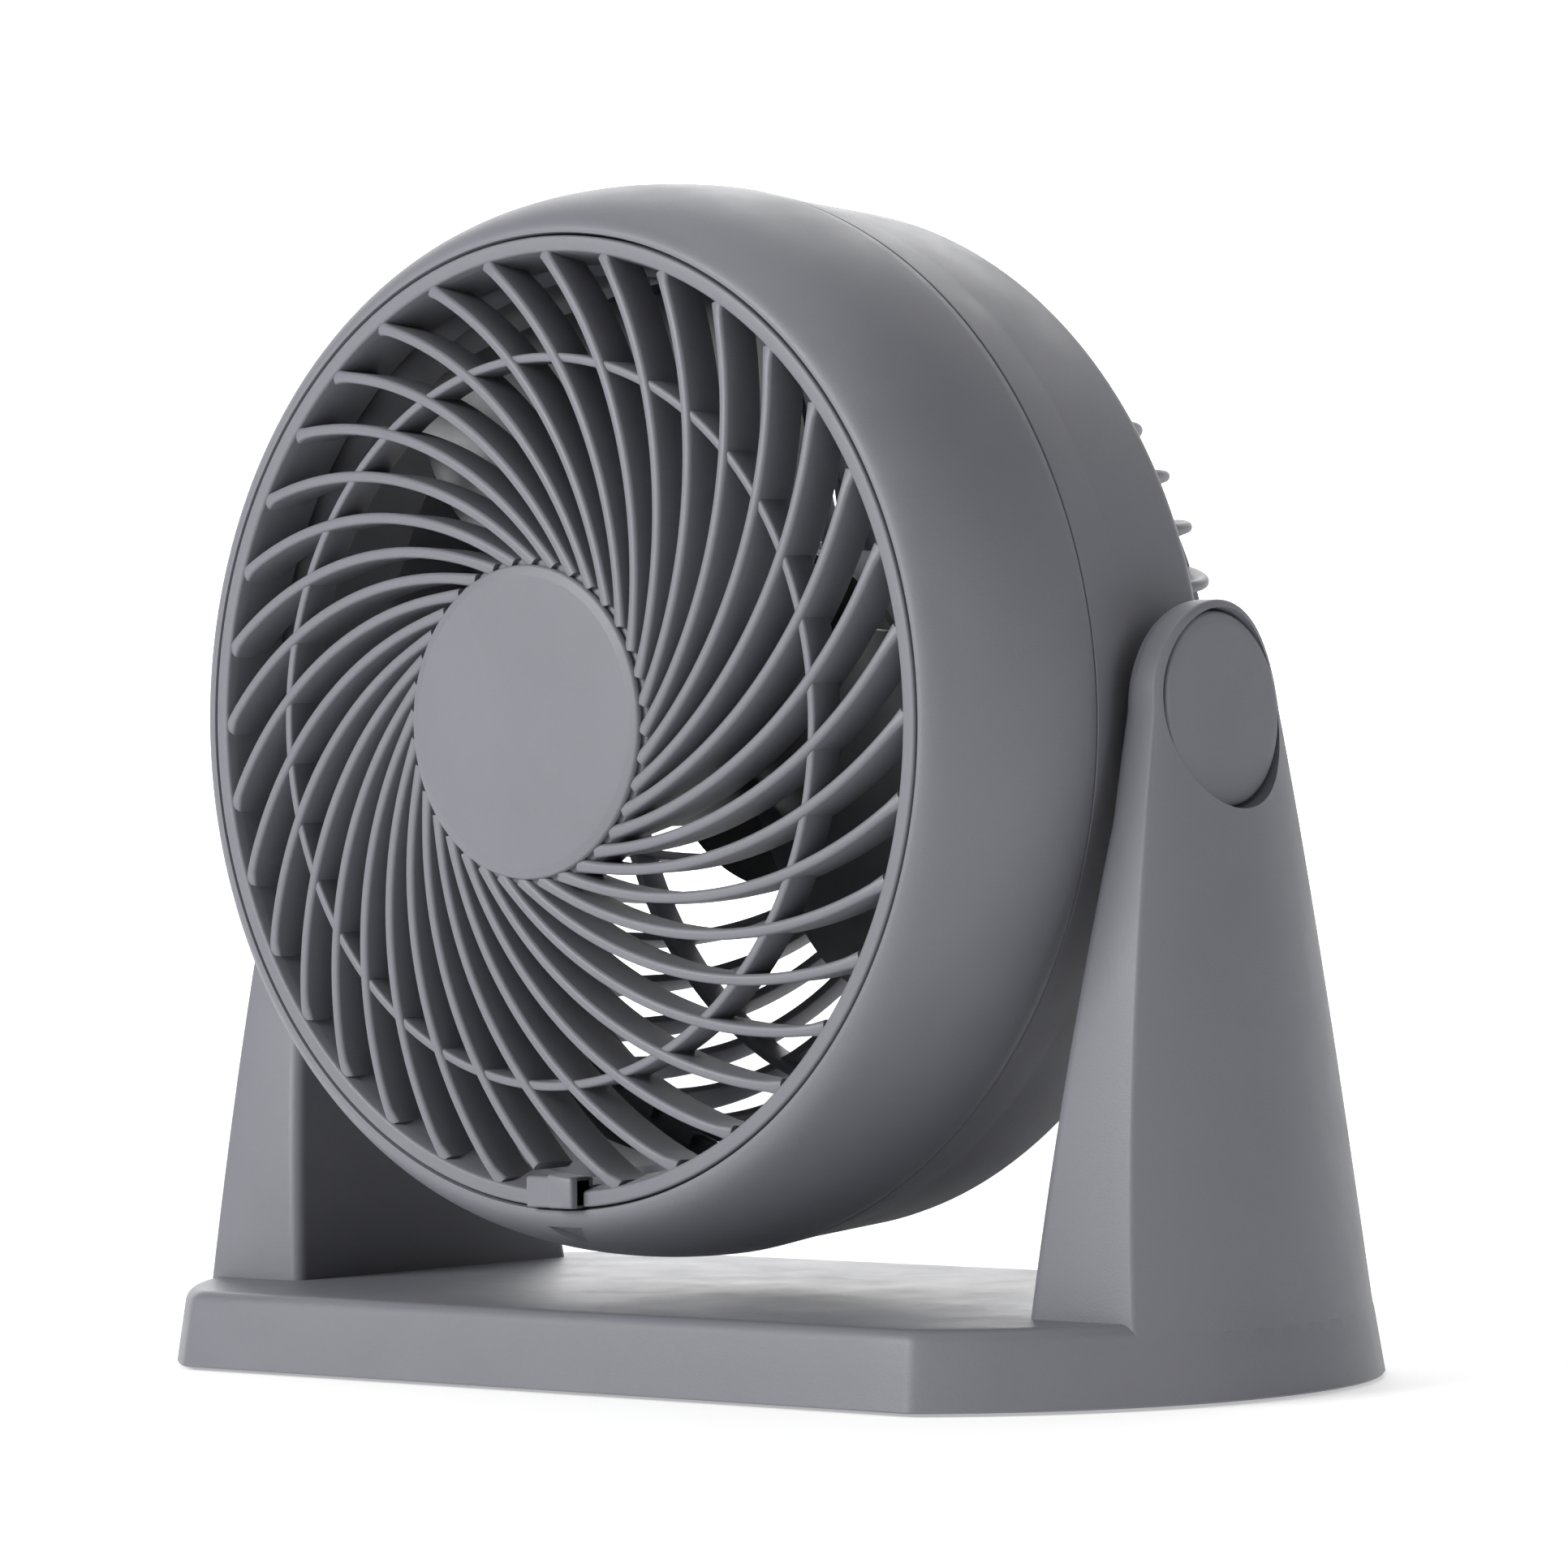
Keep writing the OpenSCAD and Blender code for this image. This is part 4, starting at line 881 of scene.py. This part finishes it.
class Stand(FanOperator):
    """One-piece stand: the hollow base and its two arms"""

    bl_idname = "fan.stand"
    bl_label = "Stand"

    def build(self, p):
        wall = 2.6
        bm = bmesh.new()
        edge = p.base_edge_r
        levels = [(BASE_H - wall, wall + 0.4), (8, wall + 0.2), (1.2, wall), (0.8, wall - 0.4), (0.8, 0.4), (1.2, 0),
                  (8, 0), (BASE_H - edge, 0)]
        for k in range(1, 7):
            a = math.radians(15 * k)
            levels.append((BASE_H - edge + edge * math.sin(a), edge * (1 - math.cos(a))))
        levels += [(BASE_H, edge + 4)]
        rings = []
        for z, inset in levels:
            ring = base_outline(min(z, BASE_H), inset)
            rings.append([Vector((q.x, q.y, z)) for q in ring])
        sweep(bm, rings)
        for x in (-END_C, 0, END_C):
            block(bm, (x - 1, -BASE_D / 2 + 5, BASE_H - 12), (x + 1, BASE_D / 2 - 5, BASE_H - 1))
        for y in (-BASE_D / 4, BASE_D / 4):
            block(bm, (-END_C - 40, y - 1, BASE_H - 12), (END_C + 40, y + 1, BASE_H - 1))
        for x in (-END_C - 38, END_C + 38):
            for y in (-BASE_D / 2 + 24, BASE_D / 2 - 24):
                boss = bmesh.ops.create_cone(bm, cap_ends=True, segments=48, radius1=9, radius2=9, depth=15)["verts"]
                bmesh.ops.translate(bm, vec=(x, y, 10.5), verts=boss)
        base = to_mesh(bm, "base_shell", WORLD)
        settle(base, finish("body_plastic"), "stand", ["stand"], 28)

        for side, name in ((-1, "arm_shell_left"), (1, "arm_shell_right")):
            bm = bmesh.new()
            arm_shell(bm, p, side)
            bmesh.ops.remove_doubles(bm, verts=bm.verts, dist=1e-3)
            rim = [e for e in bm.edges if e.is_boundary]
            bmesh.ops.holes_fill(bm, edges=rim, sides=0)
            arm = to_mesh(bm, name, WORLD)
            square = Matrix.Translation(AXIS) @ Matrix.Rotation(math.radians(90 * side), 4, "Y") @ Matrix.Scale(MM, 4)
            cut(arm, rod("recess", 22.9, 23.6, -1.9, 26, cap_place(side), 160))
            cut(arm, rod("head_pocket", 10.5, 10.5, ARM_IN + 3.4, ARM_IN + 14, square))
            cut(arm, rod("bore", 5.05, 5.05, ARM_IN - 6, ARM_IN + 8, square))
            settle(arm, finish("body_plastic"), "stand", smooth=28)


def cap_place(side):
    """Frame of a pivot cover: Z out of the arm, on the cover's inner face."""
    face = ARM_IN + 3.4 + 2.6 + 1.3
    yaw = math.asin(PIVOT_Y / (93.6 - LEAN * (PIVOT_Z - BASE_H)))
    place = Matrix.Translation(AXIS) @ Matrix.Rotation(math.radians(90 * side), 4, "Y")
    tilt = Matrix.Rotation(math.radians(-4 * side), 4, "Y") @ Matrix.Rotation(-yaw, 4, "X")
    return place @ Matrix.Translation((0, 0, face * MM)) @ tilt @ Matrix.Scale(MM, 4)


class PivotCaps(FanOperator):
    """Round covers over the pivot screws"""

    bl_idname = "fan.pivot_caps"
    bl_label = "Pivot Covers"

    def build(self, p):
        for side, node in ((-1, "pivot_cap_left"), (1, "pivot_cap_right")):
            bm = bmesh.new()
            r = 22.3
            spin(bm, rounded([(0, 0, 0), (r - 2, 0, 0.4), (r - 2, -1.8, 0.2), (r, -1.8, 0.3), (r, 2.0, 1.1),
                              (r - 3, 2.12, 2), (0, 2.2, 0)], closed=False, steps=5), 160, closed=False)
            settle(to_mesh(bm, node + "_shell", cap_place(side)), finish("body_plastic"), "stand",
                   [node])


class RubberFeet(FanOperator):
    """Four rubber feet under the base"""

    bl_idname = "fan.rubber_feet"
    bl_label = "Rubber Feet"

    def build(self, p):
        bm = bmesh.new()
        for x in (-END_C - 38, END_C + 38):
            for y in (-BASE_D / 2 + 24, BASE_D / 2 - 24):
                before = set(bm.verts)
                spin(bm, rounded([(0, 0.35, 0), (3.2, 0.35, 0.4), (4.0, 0, 0.4), (7, 0, 0.7), (7, 3, 0.4), (0, 3, 0)],
                                 closed=False), 64, closed=False)
                bmesh.ops.translate(bm, vec=(x, y, 0), verts=[v for v in bm.verts if v not in before])
        settle(to_mesh(bm, "foot_pads", WORLD), finish("rubber"), "stand", ["rubber_feet"])


# ---- knob ----


class SpeedKnob(FanOperator):
    """Speed knob with a fluted skirt and a grip bar"""

    bl_idname = "fan.speed_knob"
    bl_label = "Speed Knob"

    def build(self, p):
        face = -(p.rear_f - 2) - p.dome_d - 0.6
        bm = bmesh.new()
        spin(bm, rounded([(3.05, face - 7.6, 0.1), (3.05, face - 3.4, 0.1), (8.5, face - 3.4, 0.2), (8.5, face, 0.2),
                          (16.6, face, 0.5), (17, face - 1.4, 0.4), (16.1, face - 5.6, 1.5), (12.5, face - 6.3, 2.5),
                          (0.01, face - 6.0, 0)], closed=False, steps=4), 192, closed=False)
        for vert in bm.verts:
            r = math.hypot(vert.co.x, vert.co.y)
            if r > 14.5 and face - 5.8 < vert.co.z < face - 0.6:
                gain = 1 - 0.022 * (0.5 + 0.5 * math.cos(math.atan2(vert.co.y, vert.co.x) * 32))
                vert.co.x, vert.co.y = vert.co.x * gain, vert.co.y * gain
        bar = block(bm, (-3, -15.5, face - 9.9), (3, 15.5, face - 4.6))
        edges = list({e for v in bar for e in v.link_edges})
        bmesh.ops.bevel(bm, geom=edges, offset=1.2, offset_type="OFFSET", affect="EDGES", segments=4, profile=0.5,
                        material=-1, clamp_overlap=True)
        block(bm, (-0.5, 9.5, face - 10.0), (0.5, 15.2, face - 9.6))
        settle(to_mesh(bm, "speed_knob_shell", HEAD), finish("dark_plastic"), "knob", ["speed_knob"])


class InnerParts(FanOperator):
    """Finishes for the motor, switch, screws and wires that keep their frame shapes"""

    bl_idname = "fan.inner_parts"
    bl_label = "Inner Parts"

    def build(self, p):
        for part in frame["record"]["subparts"]:
            obj = frame["nodes"][part["node"]]
            if obj.hide_render:
                continue
            for slot in obj.material_slots:
                slot.material = finish(part["material_slot"])


class Stage(FanOperator):
    """Pale floor, soft studio light and the camera"""

    bl_idname = "fan.stage"
    bl_label = "Stage"

    def build(self, p):
        scene = bpy.context.scene
        bm = bmesh.new()
        profile = rounded([(-4.5, 0, 0), (5.0, 0, 2.0), (5.0, 7, 0)], closed=False, steps=24)
        verts = [bm.verts.new((-7, y, z)) for y, z in profile]
        edges = [bm.edges.new(pair) for pair in zip(verts, verts[1:])]
        made = bmesh.ops.extrude_edge_only(bm, edges=edges)["geom"]
        bmesh.ops.translate(bm, vec=(14, 0, 0), verts=[g for g in made if isinstance(g, bmesh.types.BMVert)])
        bmesh.ops.rotate(bm, cent=(0, 0, 0), matrix=Matrix.Rotation(math.radians(42.3), 3, "Z"), verts=bm.verts)
        mesh = bpy.data.meshes.new("floor")
        bm.to_mesh(mesh)
        bm.free()
        mesh.shade_smooth()
        floor = bpy.data.objects.new("floor", mesh)
        scene.collection.objects.link(floor)
        s = Shader("floor_paper")
        tint = scene.fan_colours.floor
        fibre = s.ranged(s.noise(220, 3.0, 0.6), 0.3, 0.7, 0, 1)
        s.set(Base_Color=s.mix(fibre, shade(tint, 0.99), shade(tint, 1.01)), Roughness=0.85 + fibre * 0.05,
              Emission_Color=(1, 1, 1, 1), Emission_Strength=0.4)
        mesh.materials.append(s.material)

        scene.view_settings.view_transform = "Standard"
        world = bpy.data.worlds.new("studio")
        scene.world = world
        world.use_nodes = True
        back = world.node_tree.nodes["Background"]
        back.inputs["Color"].default_value = (1, 1, 1, 1)
        back.inputs["Strength"].default_value = 0.08

        def lamp(name, at, look, size, power):
            light = bpy.data.lights.new(name, "AREA")
            light.shape = "RECTANGLE"
            light.size, light.size_y = size
            light.energy = power
            obj = bpy.data.objects.new(name, light)
            scene.collection.objects.link(obj)
            obj.location = at
            obj.rotation_euler = (Vector(look) - Vector(at)).to_track_quat("-Z", "Y").to_euler()

        middle = (0, 0, 0.14)
        lamp("key", (-0.9, -2.4, 1.2), middle, (1.4, 1.0), 70)
        lamp("top", (-0.2, 0.2, 2.2), middle, (1.6, 1.6), 12)
        lamp("back", (-0.7, 1.8, 1.6), middle, (1.6, 1.0), 4)
        lamp("right", (2.3, 0.2, 0.9), middle, (1.4, 1.4), 12)
        lamp("backdrop", (-1.9, 2.1, 2.6), (-3.5, 3.9, 1.6), (2.0, 2.0), 220)

        camera = bpy.data.cameras.new("camera")
        camera.lens = 160.2
        camera.sensor_width = 36
        camera.clip_end = 50
        seen = bpy.data.objects.new("camera", camera)
        scene.collection.objects.link(seen)
        azimuth, pitch, roll = (math.radians(a) for a in (42.34, -0.13, -1.0))
        look = Vector((-math.sin(azimuth) * math.cos(pitch), math.cos(azimuth) * math.cos(pitch), math.sin(pitch)))
        turn = look.to_track_quat("-Z", "Y").to_matrix().to_4x4() @ Matrix.Rotation(roll, 4, "Z")
        seen.matrix_world = Matrix.Translation((1.1312, -1.2313, 0.1433)) @ turn
        scene.camera = seen


class FanPanel(bpy.types.Panel):
    """Lists the fan's pieces in the sidebar"""

    bl_idname = "VIEW3D_PT_desk_fan"
    bl_label = "Desk Fan"
    bl_space_type = "VIEW_3D"
    bl_region_type = "UI"
    bl_category = "Desk Fan"

    def draw(self, context):
        for group in (context.scene.fan_sizes, context.scene.fan_colours):
            column = self.layout.column()
            for name in group.__annotations__:
                column.prop(group, name)
        for maker in MAKERS:
            self.layout.operator(maker.bl_idname)


MAKERS = (FrontGrille, LatchTab, FrontHousing, RearHousing, RearGrille, Impeller, Stand, PivotCaps, RubberFeet,
          SpeedKnob, InnerParts, Stage)
CLASSES = (FanSizes, FanColours, *MAKERS, FanPanel)


def register():
    for cls in CLASSES:
        bpy.utils.register_class(cls)
    bpy.types.Scene.fan_sizes = PointerProperty(type=FanSizes)
    bpy.types.Scene.fan_colours = PointerProperty(type=FanColours)


def unregister():
    del bpy.types.Scene.fan_sizes
    del bpy.types.Scene.fan_colours
    for cls in reversed(CLASSES):
        bpy.utils.unregister_class(cls)


def main():
    register()
    for maker in MAKERS:
        group, name = maker.bl_idname.split(".")
        getattr(getattr(bpy.ops, group), name)()


if __name__ == "__main__":
    main()
